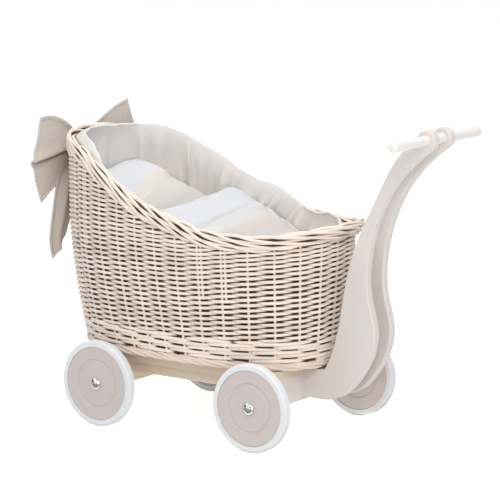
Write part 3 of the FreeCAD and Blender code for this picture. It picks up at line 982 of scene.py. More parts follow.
    def wale(self) -> list[Rod]:
        """Rows at the foot whose rods pass before two stakes and behind one.

        Returns:
            The rods.
        """
        rods = []
        for i in range(self.wale_rows):
            def front(place: float, shift: int = i) -> float:
                """Before the wall for two thirds of a stroke and behind it for one."""
                wave = math.cos(TURN * (place * self.wale_strokes / self.stakes + shift / 3))
                return math.sqrt((wave + 0.5) / 1.5) if wave > -0.5 else 2 * (wave + 0.5)
            level = self.form.border_z + (i + 0.4) * self.wale_pitch
            rods += self.woven(level, front, self.band_radius, self.wale_rise)
        return rods

    def uprights(self) -> list[Rod]:
        """Stakes from the foot border into the rim, with a second one at the sharp turns.

        Returns:
            The rods.
        """
        rods = []
        steps = 26
        for i in range(self.stakes):
            turn = abs(math.sin(2 * self.angle(i)))
            lone = turn < self.sharp_turn or self.dice.random() < self.undoubled
            places = [i] if lone else [i - 0.07, i + 0.1]
            for n, place in enumerate(places):
                angle = self.angle(place)
                top = self.rim_foot(angle) + self.form.band * 0.3
                low = self.form.foot_z + 0.006 if n == 0 else blend_value(self.form.foot_z, top, 0.55)
                rod = Rod()
                tone = self.dice.uniform(0.6, 1.0)
                for k in range(steps + 1):
                    z = blend_value(low, top, k / steps)
                    spot = self.form.wall_at(angle, z, self.form.wall / 2)
                    spot -= self.form.outward(angle, z) * self.set_back
                    rod.add(spot, self.stake_radius * (1.0 - 0.12 * k / steps), tone)
                rods.append(rod.tapered())
        return rods

    @staticmethod
    def wound(share: float, flat: float, bend: float) -> tuple[float, float]:
        """Point of a band's section, which has two flat sides and two round ends.

        Args:
            share: Place round the section.
            flat: Half the length of a flat side.
            bend: Radius of an end.

        Returns:
            How high and how far out it lies.
        """
        run = (share % 1.0) * (4 * flat + TURN * bend)
        if run < 2 * flat:
            return flat - run, bend
        run -= 2 * flat
        if run < math.pi * bend:
            return -flat - bend * math.sin(run / bend), bend * math.cos(run / bend)
        run -= math.pi * bend
        if run < 2 * flat:
            return run - flat, -bend
        run -= 2 * flat
        return flat + bend * math.sin(run / bend), -bend * math.cos(run / bend)

    def band_rods(self, ring: Callable[[float], Ring], half: tuple[float, float],
                  layers: Sequence[tuple[int, int, float]], warmth: float = 0.0) -> list[Rod]:
        """Rods that wind round a closed band in layers, so that those of one cross those of the other.

        Args:
            ring: From a share of the lap, the band's middle, its up and its outward direction.
            half: Half the height and half the thickness of the band.
            layers: For each layer its number of rods, how often each winds round the band in one lap,
                and how deep it lies.
            warmth: How much warmer than the others the rods are.

        Returns:
            Closed rods, and the ones that fill the band's middle, painted almost wholly in shade.
        """
        rings = [(i / self.band_steps, ring(i / self.band_steps)) for i in range(self.band_steps)]
        flat = half[0] - half[1]
        rods = []
        for strands, laps, sunk in layers:
            for j in range(strands):
                drift = Ripple(self.dice.randrange(9999), (5, 9, 14, 19), 0.030)
                thin = Ripple(self.dice.randrange(9999), (9, 16, 23), 0.12)
                tone = [self.dice.betavariate(2.6, 1.6) * (1 - warmth) for _ in range(3)]
                rod = Rod(True)
                for share, (middle, up, out) in rings:
                    high, deep = self.wound(j / strands + laps * share + drift.at(share), flat,
                                            half[1] - self.band_radius - sunk)
                    rod.add(middle + up * high + out * deep, self.band_radius * (1 + thin.at(share)),
                            tone[int(share * 3)])
                rods.append(rod)
        # The filling rods carry almost full painted shade, so that the band's gaps look dark.
        core = max(half[1] - 2 * self.band_radius, 0.0022)
        for high in (-0.9, -0.3, 0.3, 0.9):
            rod = Rod(True)
            for _, (middle, up, _) in rings:
                rod.add(middle + up * (high * flat), core, 0.2, 0.97)
            rods.append(rod)
        return rods

    def rim_ring(self, share: float) -> Ring:
        """Middle, up and outward direction of the rolled rim.

        Args:
            share: Share of the lap.

        Returns:
            The three vectors.
        """
        angle = TURN * share
        top = self.form.rim_at(angle)
        low = self.form.wall_at(angle, top.z - self.form.band, self.form.wall - self.form.rim_thickness / 2)
        ahead = self.form.rim_at(angle + 0.02) - self.form.rim_at(angle - 0.02)
        up = (top - low).normalized()
        return (top + low) / 2, up, ahead.cross(up).normalized()

    def border_ring(self, share: float) -> Ring:
        """Middle, up and outward direction of the foot border.

        Args:
            share: Share of the lap.

        Returns:
            The three vectors.
        """
        angle = TURN * share
        z = (self.form.foot_z + self.form.border_z) / 2
        middle = self.form.wall_at(angle, z, (self.form.wall - self.form.border_proud) / 2)
        return middle, UP, self.form.outward(angle, z)

    def base_rods(self) -> list[Rod]:
        """Woven floor: sticks across and rods along that pass over and under them.

        Returns:
            The rods.
        """
        low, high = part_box("basket_floor")
        z = (low.z + high.z) / 2
        edge = self.form.wall + 0.001
        centre, length, width, squareness = self.form.foot
        rods = []

        def lay(points: Iterable[Vector], radius: float) -> None:
            """Adds the part of a straight rod that lies inside the wall.

            Args:
                points: Points of the rod.
                radius: Its radius.
            """
            rod = Rod()
            kept = [p for p in points if (abs(p.x - centre) / (length / 2 - edge)) ** squareness
                    + (abs(p.y) / (width / 2 - edge)) ** squareness < 1]
            if len(kept) > 2:
                tone = self.dice.uniform(0.3, 0.9)
                for spot in kept:
                    rod.add(spot, radius, tone)
                rods.append(rod.tapered())

        sticks = int((high.x - low.x) / self.floor_pitch)
        for i in range(sticks + 1):
            x = low.x + self.floor_pitch * (i + 0.5)
            lay((Vector((x, blend_value(low.y, high.y, k / 40), z)) for k in range(41)), self.stake_radius)
        for j in range(int((high.y - low.y) / self.floor_track)):
            y = low.y + self.floor_track * (j + 0.5)
            sway = self.floor_sway * (-1) ** j
            lay((Vector((low.x + self.floor_pitch * (k / 6 + 0.5), y, z + sway * math.cos(math.pi * k / 6)))
                 for k in range(6 * sticks)), self.row_radius)
        return rods

    def build(self) -> None:
        """Builds and dresses every woven piece."""
        form = self.form
        rows = self.rows()
        third = len(rows) // 3
        half_rim = (form.band / 2 - 0.0005, form.rim_thickness / 2)
        half_border = ((form.border_z - form.foot_z) / 2, (form.wall + form.border_proud) / 2)
        low, middle, high = ([rod for row in chosen for rod in row]
                             for chosen in (rows[:third], rows[third:2 * third], rows[2 * third:]))
        rim = ((6, 5, 0.0), (5, 1, 0.0014))
        border = ((4, 8, 0.0), (4, 6, 0.0012))
        woven = {"basket_rows_low": (low, ("basket_wall",)),
                 "basket_rows_middle": (middle, ()),
                 "basket_rows_high": (high, ()),
                 "basket_wale": (self.wale(), ()),
                 "basket_stakes": (self.uprights(), ()),
                 "basket_rolled_rim": (self.band_rods(self.rim_ring, half_rim, rim), ("basket_rim",)),
                 "basket_plaited_border": (self.band_rods(self.border_ring, half_border, border, 0.85),
                                           ("basket_foot_border",)),
                 "basket_woven_floor": (self.base_rods(), ("basket_floor",))}
        for name, (rods, replaced) in woven.items():
            finish_piece(RodBundle(name, rods).build(), replaced)


# ---------------------------------------------------------------------------- lines and sheets
def through(stations: Sequence[Sequence[float]], share: float) -> list[float]:
    """Point of a smooth curve that runs evenly through its stations.

    Args:
        stations: Points of any dimension.
        share: Place from 0, the first, to 1, the last.

    Returns:
        The point.
    """
    last = len(stations) - 1
    run = min(max(share, 0.0), 1.0) * last
    i = min(int(run), last - 1)
    t = run - i
    near = (stations[min(max(k, 0), last)] for k in range(i - 1, i + 3))
    return [0.5 * (2 * b + (c - a) * t + (2 * a - 5 * b + 4 * c - d) * t * t
                   + (3 * b - a - 3 * c + d) * t ** 3) for a, b, c, d in zip(*near)]


def bezier(a: Vector, b: Vector, c: Vector, d: Vector, steps: int) -> list[Vector]:
    """Points of a cubic Bezier curve, all but the first, that cut it in steps.

    Args:
        a: First point.
        b: Its handle.
        c: The last point's handle.
        d: Last point.
        steps: How many pieces the curve is cut into.

    Returns:
        The points.
    """
    points = []
    for k in range(1, steps + 1):
        t = k / steps
        s = 1 - t
        points.append(a * s ** 3 + b * (3 * s * s * t) + c * (3 * s * t * t) + d * t ** 3)
    return points


@dataclass
class Grid:
    """A sheet's mesh made of rows of points, with a UV map in metres."""

    name: str
    rows: list[list[Vector]]
    closed: bool = False

    @staticmethod
    def _runs(points: Sequence[Vector]) -> list[float]:
        """How far along a line each of its points lies.

        Args:
            points: The points.

        Returns:
            The lengths.
        """
        runs = [0.0]
        for here, there in zip(points, points[1:]):
            runs.append(runs[-1] + (there - here).length)
        return runs

    def build(self) -> Piece:
        """Builds the mesh; u runs along a row and v from row to row.

        Returns:
            The mesh object.
        """
        width = len(self.rows[0])
        spans = width if self.closed else width - 1
        middle = self.rows[len(self.rows) // 2]
        along = self._runs(middle + middle[:1])
        up = self._runs([row[width // 3] for row in self.rows])
        obj = stand(self.name, bpy.data.meshes.new(self.name))
        with reshaped(obj) as mesh:
            uv = mesh.loops.layers.uv.new("UVMap")
            grid = [[mesh.verts.new(point) for point in row] for row in self.rows]
            for j, (low, high) in enumerate(zip(grid, grid[1:])):
                for i in range(spans):
                    k = (i + 1) % width
                    face = mesh.faces.new((low[i], low[k], high[k], high[i]))
                    spots = ((along[i], up[j]), (along[i + 1], up[j]), (along[i + 1], up[j + 1]),
                             (along[i], up[j + 1]))
                    for loop, spot in zip(face.loops, spots):
                        loop[uv].uv = spot
        return obj


# ---------------------------------------------------------------------------- lining
@dataclass
class Lining:
    """The linen lining: hangs in folds inside the wall; its piped seam goes over or inside the rim."""

    form: BasketForm
    # Seam of the piping: degrees from the foot end, mm out from the rim's middle, mm above its top.
    seam: Sequence[tuple[float, float, float]] = (
        (0, -23, -20), (18, -22, -19), (32, -19, -13), (36, -16, -3), (42, -15, 0), (48, -15, -5),
        (56, -12, -4), (63, -6, -3), (70, 0, -1), (78, 2, 2), (86, 2, 4), (98, 2, 1), (112, 2, 0),
        (122, 2, 3), (132, 2, 1), (143, 1, 0), (151, -1, 1), (158, -5, 0), (165, -12, -3),
        (171, -16, -6), (182, -20, -5), (191, -24, -5), (205, -24, -3), (213, -22, -4),
        (219, -17, -7), (225, -13, -12), (233, -11, -12), (242, -10, -10), (251, -10, -9),
        (259, -10, -11), (275, -10, -10), (300, -11, -11), (325, -17, -15), (345, -22, -19))
    # Creases: degrees, lean in degrees towards the seam, depth and half width in mm.
    creases: Sequence[tuple[float, float, float, float]] = (
        (137, 5, 5.0, 7), (121, -6, 2.5, 9), (104, 4, 2.5, 9), (80, 5, 3.0, 8), (62, 9, 5.5, 7),
        (46, 8, 3.0, 7), (29, -5, 3.5, 7), (160, -3, 2.5, 6), (186, 3, 3.5, 6), (199, -4, 3.5, 6),
        (212, 3, 2.5, 5), (12, 4, 3.0, 7), (-14, 3, 3.0, 8))
    # How far a crease stands out, how far it dips beside it, and its gentle and its steep side.
    crease_rise: float = 0.0029
    crease_dip: float = 0.0007
    crease_sides: tuple[float, float] = (1.15, 0.3)
    mm_in_a_degree: float = 4.1
    ease: float = 0.0035
    lead: float = 0.030
    # The seam's way from inside the rim to over it, as distances out from the rim's middle.
    over_rim: tuple[float, float] = (-0.009, -0.002)
    # Handles of the curve up to the seam: below it inside the rim, and out from and above the top over it.
    low_handle: float = 0.016
    high_handle: float = 0.005
    over_handles: Line = ((-0.0105, -0.010), (-0.0075, 0.0075))
    # The hem inside the rim, from the seam and at the least from the rim's middle, and over it.
    hem_out: float = 0.004
    hem_least: float = -0.0082
    hem_down: float = 0.007
    flap_out: float = 0.0105
    flap_down: float = 0.019
    crest_rise: float = 0.0028
    seam_steps: int = 9
    hem_steps: int = 8
    cloth: float = 0.0012
    piping: float = 0.0019
    columns: int = 720
    hanging_rows: int = 34
    cut: tuple[float, float] = (1.42, 0.36)

    def __post_init__(self) -> None:
        """Draws the unevenness of the folds and of the seam."""
        self.foot_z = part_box("liner")[0].z
        self.folds = [(Ripple(21, (9, 14, 20), 0.0070), 0.01), (Ripple(22, (27, 35, 46), 0.0042), 0.03)]
        self.gather = Ripple(25, (57, 71, 83), 0.0013)
        self.seam_waver = Ripple(23, (13, 19, 27, 38), 0.0013)
        self.seam_dip = Ripple(24, (11, 17, 31), 0.0012)

    def seam_offset(self, degrees: float) -> tuple[float, float]:
        """Where the seam lies against the rim: out from its middle and above its top.

        Args:
            degrees: Direction from the foot end.

        Returns:
            The two distances.
        """
        stations = self.seam
        degrees %= 360
        i = max(k for k, station in enumerate(stations) if station[0] <= degrees)
        here = stations[i]
        there = stations[i + 1] if i + 1 < len(stations) else (360, *stations[0][1:])
        t = eased(degrees, here[0], there[0])
        share = degrees / 360
        out = blend_value(here[1], there[1], t) * MM + self.seam_waver.at(share)
        return out, blend_value(here[2], there[2], t) * MM + self.seam_dip.at(share)

    def frame_at(self, degrees: float) -> tuple[Vector, Vector]:
        """Top of the rim's middle and the level direction out of it.

        Args:
            degrees: Direction from the foot end.

        Returns:
            The point and the direction.
        """
        angle = math.radians(degrees)
        ahead = self.form.rim_at(angle + 0.01) - self.form.rim_at(angle - 0.01)
        return self.form.rim_at(angle), Vector((ahead.y, -ahead.x, 0)).normalized()

    def seam_point(self, degrees: float) -> Vector:
        """Point of the piped seam.

        Args:
            degrees: Direction from the foot end.

        Returns:
            The point.
        """
        rim, out = self.frame_at(degrees)
        away, above = self.seam_offset(degrees)
        return rim + out * away + UP * above

    def fold(self, degrees: float, rise: float) -> float:
        """How far the cloth stands in from the wall.

        Args:
            degrees: Direction from the foot end.
            rise: From 0, the cloth's foot, to 1, the seam.

        Returns:
            The distance.
        """
        share = degrees / 360
        total = abs(sum(ripple.at(share + lean * rise) for ripple, lean in self.folds)) * 1.3
        for middle, lean, depth, width in self.creases:
            run = ((degrees - middle - lean * (rise - 0.6) + 180) % 360 - 180) * self.mm_in_a_degree
            total += self.crease_rise * depth * bell(run, 0.0, width * self.crease_sides[run > 0])
            total -= self.crease_dip * depth * bell(run, 1.5 * width, width)
        total += abs(self.gather.at(share - 0.01 * rise)) * eased(rise, 0.45, 0.85)
        return max(total, -0.001) * eased(rise, 0.0, 0.5) * (1 - 0.75 * eased(rise, 0.86, 1.0))

    def backing(self, degrees: float, z: float, inset: float) -> Vector:
        """Point inset from the wall, or above its top from the leaning face of the rim.

        Args:
            degrees: Direction from the foot end.
            z: Its height.
            inset: How far inside the wall it lies.

        Returns:
            The point.
        """
        angle = math.radians(degrees)
        top = self.form.rim_at(angle)
        lean = min(max((z - top.z) / self.form.band + 1.0, 0.0), 1.0)
        spot = self.form.wall_at(angle, z, inset)
        foot = self.form.wall_at(angle, z)
        return spot + Vector((top.x - foot.x, top.y - foot.y, 0)) * lean

    def section(self, degrees: float) -> list[Vector]:
        """The cloth from the basket's floor up to the seam and on to its loose hem.

        Where the seam lies outside the rim's middle, the cloth goes over the rim.

        Args:
            degrees: Direction from the foot end.

        Returns:
            The points of the cloth.
        """
        rim, out = self.frame_at(degrees)
        seam = self.seam_point(degrees)
        top_z = seam.z - self.lead
        points = []
        for j in range(self.hanging_rows + 1):
            rise = j / self.hanging_rows
            inset = self.form.wall + self.ease + self.fold(degrees, rise * 0.9)
            points.append(self.backing(degrees, blend_value(self.foot_z, top_z, rise), inset))
        away = (seam - rim).dot(out)
        over = eased(away, *self.over_rim)
        low, high = seam.z - self.low_handle, seam.z - self.high_handle
        inside = self.backing(degrees, low, self.form.wall + self.ease)
        near = self.backing(degrees, high, self.form.wall + self.ease * 0.6)
        near += (Vector((seam.x, seam.y, high)) - near) * 0.6
        first, second = (inner.lerp(rim + out * aside + UP * above, over)
                         for inner, (aside, above) in zip((inside, near), self.over_handles))
        points += bezier(points[-1], first, second, seam, self.seam_steps)
        hem_out = blend_value(max(away + self.hem_out, self.hem_least), self.flap_out, over)
        hem_up = blend_value(seam.z - rim.z - self.hem_down, -self.flap_down, over)
        hem = rim + out * hem_out + UP * hem_up
        crest = seam + out * (0.35 * (hem_out - away)) + UP * self.crest_rise
        drop = hem + UP * (0.5 * max(seam.z - hem.z, 0.004))
        return points + bezier(seam, crest, drop, hem, self.hem_steps)

    def build(self) -> None:
        """Builds the lining and its piping."""
        turns = [-360 * i / self.columns for i in range(self.columns)]
        rows = [list(row) for row in zip(*(self.section(degrees) for degrees in turns))]
        middle = sum(rows[0], Vector()) / len(rows[0])
        floor = [[middle + (spot - middle) * share for spot in rows[0]] for share in (0.004, 0.35, 0.7, 0.93)]
        liner = Grid("linen_lining", floor + rows, True).build()
        Finish.LINING.dress(liner)
        # The cloth's back takes the near-black painted shade, seen through the gaps of the weave.
        liner.data.materials.append(Finish.PAINTED_SHADE_BACK.built())
        apply_modifier(liner, "SOLIDIFY", thickness=self.cloth, offset=-1.0, material_offset=1)
        liner.data.shade_smooth()
        finish_piece(liner, ("liner",))
        rod = Rod(True)
        for degrees in turns:
            rod.add(self.seam_point(degrees) + Vector((0, 0, 0.0008)), self.piping, 0.5)
        cord = RodBundle("lining_piping", [rod], 3).build()
        Finish.PIPING.dress(cord)
        finish_piece(cord, ("liner_piping",))


# ---------------------------------------------------------------------------- bedding
@dataclass
class Pad:
    """A stuffed cotton pad that fills the space of its CAD solid."""

    node: str
    finish: Finish
    fill: float
    swell: float
    # Top of the settled pad: mm from its head end and mm above its underside.
    crest: Line = ()
    # How far the pad leans down towards the left, and the y from which it does.
    lean: float = 0.0
    lean_from: float = 0.0
    # 1 keeps the solid's rounded section, less makes it flatter on top and fuller at the sides.
    fullness: float = 1.0
    voxel: float = 0.005
    shrink: float = 0.0025
    smoothings: int = 9
    pressure: float = 4.0
    frames: int = 20
    seam_depth: float = 0.0012
    seam_reach: float = 0.0022
    crumple_depth: float = 0.0016

    def body(self) -> Piece:
        """A merged copy of the CAD solid, settled and drawn in a little, with an even mesh.

        Returns:
            The pad.
        """
        obj = stand(f"bed_{self.node}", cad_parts[self.node].data.copy())
        obj.data.materials.clear()
        with reshaped(obj) as mesh:
            bmesh.ops.remove_doubles(mesh, verts=mesh.verts[:], dist=1e-5)
            mesh.normal_update()
        pick(obj)
        obj.data.remesh_voxel_size = self.voxel
        bpy.ops.object.voxel_remesh()
        if self.crest:
            self.settle(obj)
        with reshaped(obj) as mesh:
            mesh.normal_update()
            for vert in mesh.verts:
                vert.co -= vert.normal * self.shrink
            for _ in range(self.smoothings):
                bmesh.ops.smooth_vert(mesh, verts=mesh.verts[:], factor=0.5, use_axis_x=True,
                                      use_axis_y=True, use_axis_z=True)
        return obj

    def settle(self, obj: Piece) -> None:
        """Lets the pad sink to its crest, and lean.

        Args:
            obj: The pad.
        """
        low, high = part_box(self.node)
        step, least = 0.004, 0.02
        tops: dict[int, float] = {}
        for vert in obj.data.vertices:
            slot = round((vert.co.x - low.x) / step)
            tops[slot] = max(tops.get(slot, low.z), vert.co.z)
        for vert in obj.data.vertices:
            run = (vert.co.x - low.x) / step
            slot = math.floor(run)
            here = tops.get(slot, high.z)
            top = blend_value(here, tops.get(slot + 1, here), run - slot)
            share = max((vert.co.z - low.z) / max(top - low.z, least), 0.0) ** self.fullness
            goal = self.crest_at((vert.co.x - low.x) / MM) * MM
            vert.co.z = low.z + share * (goal - self.lean * max(self.lean_from - vert.co.y, 0.0))

    def crest_at(self, run: float) -> float:
        """Height of the crest in mm, at mm from the head end.

        Args:
            run: How far from the head end.

        Returns:
            The height.
        """
        for (x0, z0), (x1, z1) in zip(self.crest, self.crest[1:]):
            if run <= x1:
                return blend_value(z0, z1, max(run - x0, 0.0) / (x1 - x0))
        return self.crest[-1][1]

    def inflate(self, obj: Piece) -> None:
        """Swells the pad as cloth under pressure, no point further than the swell.

        Args:
            obj: The pad.
        """
        before = [vert.co.copy() for vert in obj.data.vertices]
        pick(obj)
        modifier = obj.modifiers.new("filling", "CLOTH")
        modifier.settings.use_pressure = True
        modifier.settings.uniform_pressure_force = self.pressure
        modifier.settings.effector_weights.gravity = 0.0
        for step in range(1, self.frames + 1):
            bpy.context.scene.frame_set(step)
        bpy.ops.object.modifier_apply(modifier=modifier.name)
        for vert, old in zip(obj.data.vertices, before):
            move = vert.co - old
            if move.length > self.swell:
                vert.co = old + move.normalized() * self.swell
        bpy.context.scene.frame_set(1)

    def crumple(self, spot: Vector) -> float:
        """Height of shallow soft folds at a point, longer along the bed than across it.

        Args:
            spot: The point.

        Returns:
            The height.
        """
        x, y, z = spot
        wide = noise.noise(Vector((9 * x + 6 * y, 20 * y, 12 * z)))
        fine = noise.noise(Vector((22 * x - 14 * y, 46 * y + 9 * x, 25 * z)))
        return self.crumple_depth * (wide + 0.45 * fine)

    def stitch(self, spot: Vector) -> float:
        """Height at a point where the seams between the cloths of the finish draw it in.

        Args:
            spot: The point.

        Returns:
            The height, which is 0 away from the seams and less on them.
        """
        cloth = self.finish.value
        if not isinstance(cloth, Patchwork):
            return 0.0
        run = spot.x + cloth.turn * spot.y
        return -self.seam_depth * sum(bell(run, place, self.seam_reach) for place in (cloth.start, cloth.end))

    def build(self) -> None:
        """Builds the pad."""
        obj = self.body()
        self.inflate(obj)
        apply_modifier(obj, "SUBSURF", levels=1, render_levels=1)
        for relief in (self.crumple, self.stitch):
            normals = [vert.normal.copy() for vert in obj.data.vertices]
            for vert, normal in zip(obj.data.vertices, normals):
                vert.co += normal * relief(vert.co)
        obj.data.shade_smooth()
        self.finish.dress(obj)
        finish_piece(obj, (self.node,))


@dataclass
class Bedding:
    """Mattress, pillow and duvet."""

    pads: Sequence[Pad] = (
        Pad("mattress", Finish.WHITE, fill=0.9, swell=0.004, voxel=0.008),
        Pad("pillow", Finish.PILLOW, fill=0.6, swell=0.006, lean=0.125, lean_from=0.095, fullness=0.50,
            crest=((0, 203), (12, 219), (30, 222), (54, 216), (82, 204), (124, 180), (150, 161), (178, 134))),
        Pad("duvet", Finish.DUVET, fill=0.5, swell=0.006, lean=0.08, lean_from=0.11, fullness=0.30,
            crest=((0, 174), (8, 179), (24, 181), (42, 180), (60, 172), (85, 157), (128, 139), (156, 120),
                   (197, 98), (237, 79), (292, 60))))

    def build(self) -> None:
        """Builds the three pads."""
        for pad in self.pads:
            pad.build()


# ---------------------------------------------------------------------------- bow
class Hand(Enum):
    """Side of the bow: which way y runs away from its middle."""

    LEFT = -1
    RIGHT = 1


@dataclass(frozen=True)
class Flare:
    """How a wing's outer end differs from the outline, and how far its top edge hangs between."""

    nearer: float = 0.0
    wider: float = 0.008
    higher: float = 0.0
    hollow: float = 0.0


@dataclass(frozen=True)
class Fold:
    """How a wing is folded along its length; heights stand out from its plane."""

    # Share of the width where the upper half ends, how it drifts towards the hem, and its sway.
    line: float = 0.47
    drift: float = 0.03
    sway: float = 0.014
    # The upper half swells and hangs over a groove, and the lower half swells a little.
    lip: float = 0.0110
    overhang: float = 0.0085
    groove: float = 0.0110
    lower: float = 0.0030
    # Gathers that run out from the knot.
    rays: float = 0.0012

    def at(self, u: float, v: float) -> tuple[float, float, float]:
        """Relief, gathers and droop of the cloth.

        Args:
            u: Share of the way from the knot to the hem.
            v: Share of the way from the top edge to the bottom one.

        Returns:
            How far the folds and the gathers stand out, and how far the cloth hangs down.
        """
        line = self.line + self.drift * u + self.sway * math.sin(TURN * (1.4 * u + 0.1))
        lip = eased(v, 0.12, line) * (1 - eased(v, line, line + 0.06))
        belly = math.sin(math.pi * min(u * 0.9 + 0.05, 1.0))
        rays = self.rays * math.sin(TURN * (4.5 * v + 0.2)) * (1 - u) ** 2.5
        relief = (self.lip * lip + self.lower * bell(v, 0.76, 0.12)) * (0.25 + 0.75 * belly)
        relief -= self.groove * bell(v - line, 0.09, 0.050) * (0.35 + 0.65 * belly)
        return relief, rays, self.overhang * lip * (0.3 + 0.5 * u)


@dataclass
class Bow:
    """Stiff hemmed linen bow at the head end: two wings, two tails and a knot."""

    # Outlines as mm from the middle and mm above the knot's middle.
    wing_top: Line = ((3, 9), (10, 30), (24, 47), (46, 60), (68, 66), (91, 65))
    wing_bottom: Line = ((3, -9), (12, -16), (34, -30), (58, -50), (78, -64), (93, -76))
    wing_end: Line = ((91, 65), (99, 38), (109, 18), (114, 2), (110, -22), (103, -50), (93, -76))
    tail_outer: Line = ((10, -8), (32, -16), (54, -32), (67, -62), (76, -96), (81, -126), (80, -150),
                        (73, -174))
    tail_inner: Line = ((2, -12), (4, -36), (8, -60), (14, -86), (20, -106), (26, -120), (31, -132),
                        (36, -140))
    wing_length: float = 0.105
    wing_steps: tuple[int, int] = (90, 120)
    tail_length: float = 0.17
    tail_steps: tuple[int, int] = (120, 60)
    # A tail's lengthwise fold, the turn of its inner half and its slow wave.
    tail_ridge: float = 0.0120
    tail_turn: float = 0.008
    tail_wave: float = 0.0015
    hem: float = 0.0065
    hem_rise: float = 0.0010
    stitch: float = 0.0011
    cloth: float = 0.0026
    knot_cuts: int = 9
    knot_squareness: float = 3.2
    knot_wrinkle: float = 0.0008
    fold: Fold = Fold()
    flares: dict[Hand, Flare] = field(default_factory=lambda: {
        Hand.LEFT: Flare(), Hand.RIGHT: Flare(0.017, 0.019, 0.015, 0.016)})

    def __post_init__(self) -> None:
        """Finds the knot's middle and the plane of the bow's back."""
        self.knot_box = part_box("bow_knot")
        self.middle = sum(self.knot_box, Vector()) / 2
        low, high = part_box("left_bow_loop")
        self.back = high.x
        self.depth = self.back - low.x

    def place(self, hand: Hand, spot: Sequence[float], proud: float) -> Vector:
        """Point of the bow from its outline and how far it stands out from the basket."""
        return Vector((self.back - proud, hand.value * spot[0] * MM, self.middle.z + spot[1] * MM))

    def hemmed(self, top: Sequence[float], bottom: Sequence[float], v: float, end: float) -> float:
        """Extra thickness near a hemmed edge, less the groove of its stitches.

        Args:
            top: Point of one edge, in mm.
            bottom: Point of the other edge.
            v: Share of the way between them.
            end: How far the hemmed end is.

        Returns:
            The thickness.
        """
        width = (Vector(top) - Vector(bottom)).length * MM
        nearest = min(end, v * width, (1 - v) * width)
        edge = 1 - eased(nearest, self.hem * 0.85, self.hem * 1.1)
        return self.hem_rise * edge - self.stitch * bell(nearest, self.hem, 0.0011)

    def sewn(self, name: str, counts: tuple[int, int], hand: Hand,
             shape: Callable[[float, float], Vector]) -> Piece:
        """Makes hemmed cloth of a shape.

        Args:
            name: The piece's name, without its side.
            counts: Steps along it and across it.
            hand: Its side.
            shape: From the shares along and across, the point.

        Returns:
            The piece.
        """
        along, across = counts
        rows = [[shape(i / along, j / across) for i in range(along + 1)] for j in range(across + 1)]
        if hand is Hand.RIGHT:
            rows = [list(reversed(row)) for row in rows]
        obj = Grid(f"{name}_{hand.name.lower()}", rows).build()
        apply_modifier(obj, "SOLIDIFY", thickness=self.cloth, offset=0.0)
        apply_modifier(obj, "BEVEL", width=self.cloth * 0.3, segments=2, limit_method="ANGLE")
        pick(obj)
        bpy.ops.object.shade_smooth_by_angle(angle=math.radians(50))
        Finish.BOW.dress(obj)
        return obj

    def wing(self, hand: Hand) -> Piece:
        """One wing: pinched at the knot, fanned out to its hem, folded along its middle.

        Args:
            hand: Its side.

        Returns:
            The piece.
        """
        flutter = Ripple(31 + hand.value, (2, 3), 0.0020)
        flare = self.flares[hand]

        def shape(u: float, v: float) -> Vector:
            """Point of the wing, from the knot to the hem and from its top to its bottom.

            Args:
                u: Share of the way to the hem.
                v: Share of the way down.

            Returns:
                The point.
            """
            top, bottom = through(self.wing_top, u), through(self.wing_bottom, u)
            chord = blend_points(self.wing_end[0], self.wing_end[-1], v)
            spot = [a + (e - c) * u * u
                    for a, e, c in zip(blend_points(top, bottom, v), through(self.wing_end, v), chord)]
            relief, rays, droop = self.fold.at(u, v)
            proud = self.depth / 2 - relief - rays + flutter.at(v) * u - flare.nearer * u ** 1.6
            proud -= self.hemmed(top, bottom, v, (1 - u) * self.wing_length)
            place = self.place(hand, spot, proud)
            place.y += hand.value * flare.wider * u ** 1.6
            place.z += flare.higher * u - flare.hollow * (1 - v) * math.sin(math.pi * u)
            place.z -= droop
            return place

        return self.sewn("bow_wing", self.wing_steps, hand, shape)

    def tail(self, hand: Hand) -> Piece:
        """One tail: folded lengthwise at the knot, opening towards its slanting end.

        Args:
            hand: Its side.

        Returns:
            The piece.
        """

        def shape(u: float, v: float) -> Vector:
            """Point of the tail, from the knot to its end and from its outer to its inner edge.

            Args:
                u: Share of the way to the end.
                v: Share of the way across.

            Returns:
                The point.
            """
            outer, inner = through(self.tail_outer, u), through(self.tail_inner, u)
            ridge = bell(v, 0.40, 0.15) * (1 - 0.55 * u)
            turn = self.tail_turn * eased(v, 0.45, 0.80) * (1 - 0.5 * u)
            proud = self.depth * 0.45 - self.tail_ridge * ridge + turn
            proud += self.tail_wave * math.sin(TURN * (1.3 * u + 0.15 * v))
            proud -= self.hemmed(outer, inner, v, (1 - u) * self.tail_length)
            return self.place(hand, blend_points(outer, inner, v), proud)

        return self.sewn("bow_tail", self.tail_steps, hand, shape)

    def knot(self) -> Piece:
        """The knot: a soft band wrapped round the pinched middle, with a few folds across.

        Returns:
            The piece.
        """
        low, high = self.knot_box
        size = high - low
        knot = primitive(bpy.ops.mesh.primitive_cube_add, "bow_knot_band", size=1.0, location=self.middle)
        knot.scale = size
        bpy.ops.object.transform_apply(location=True, rotation=True, scale=True)
        bpy.ops.object.mode_set(mode="EDIT")
        bpy.ops.mesh.select_all(action="SELECT")
        bpy.ops.mesh.subdivide(number_cuts=self.knot_cuts)
        bpy.ops.object.mode_set(mode="OBJECT")
        for vert in knot.data.vertices:
            away = vert.co - self.middle
            x, y, z = (2 * a / s for a, s in zip(away, size))
            reach = max(abs(x), abs(y), abs(z))
            long = sum(abs(a) ** self.knot_squareness for a in (x, y, z)) ** (1 / self.knot_squareness)
            away *= reach / max(long, 1e-6)
            away.y *= 1 + 0.10 * abs(z) - 0.06
            away.x += self.knot_wrinkle * math.sin(9.0 * y + 1.5 * z) * (x < 0)
            vert.co = self.middle + away * 0.985
        apply_modifier(knot, "SUBSURF", levels=1, render_levels=1)
        knot.data.shade_smooth()
        Finish.BOW.dress(knot)
        return knot

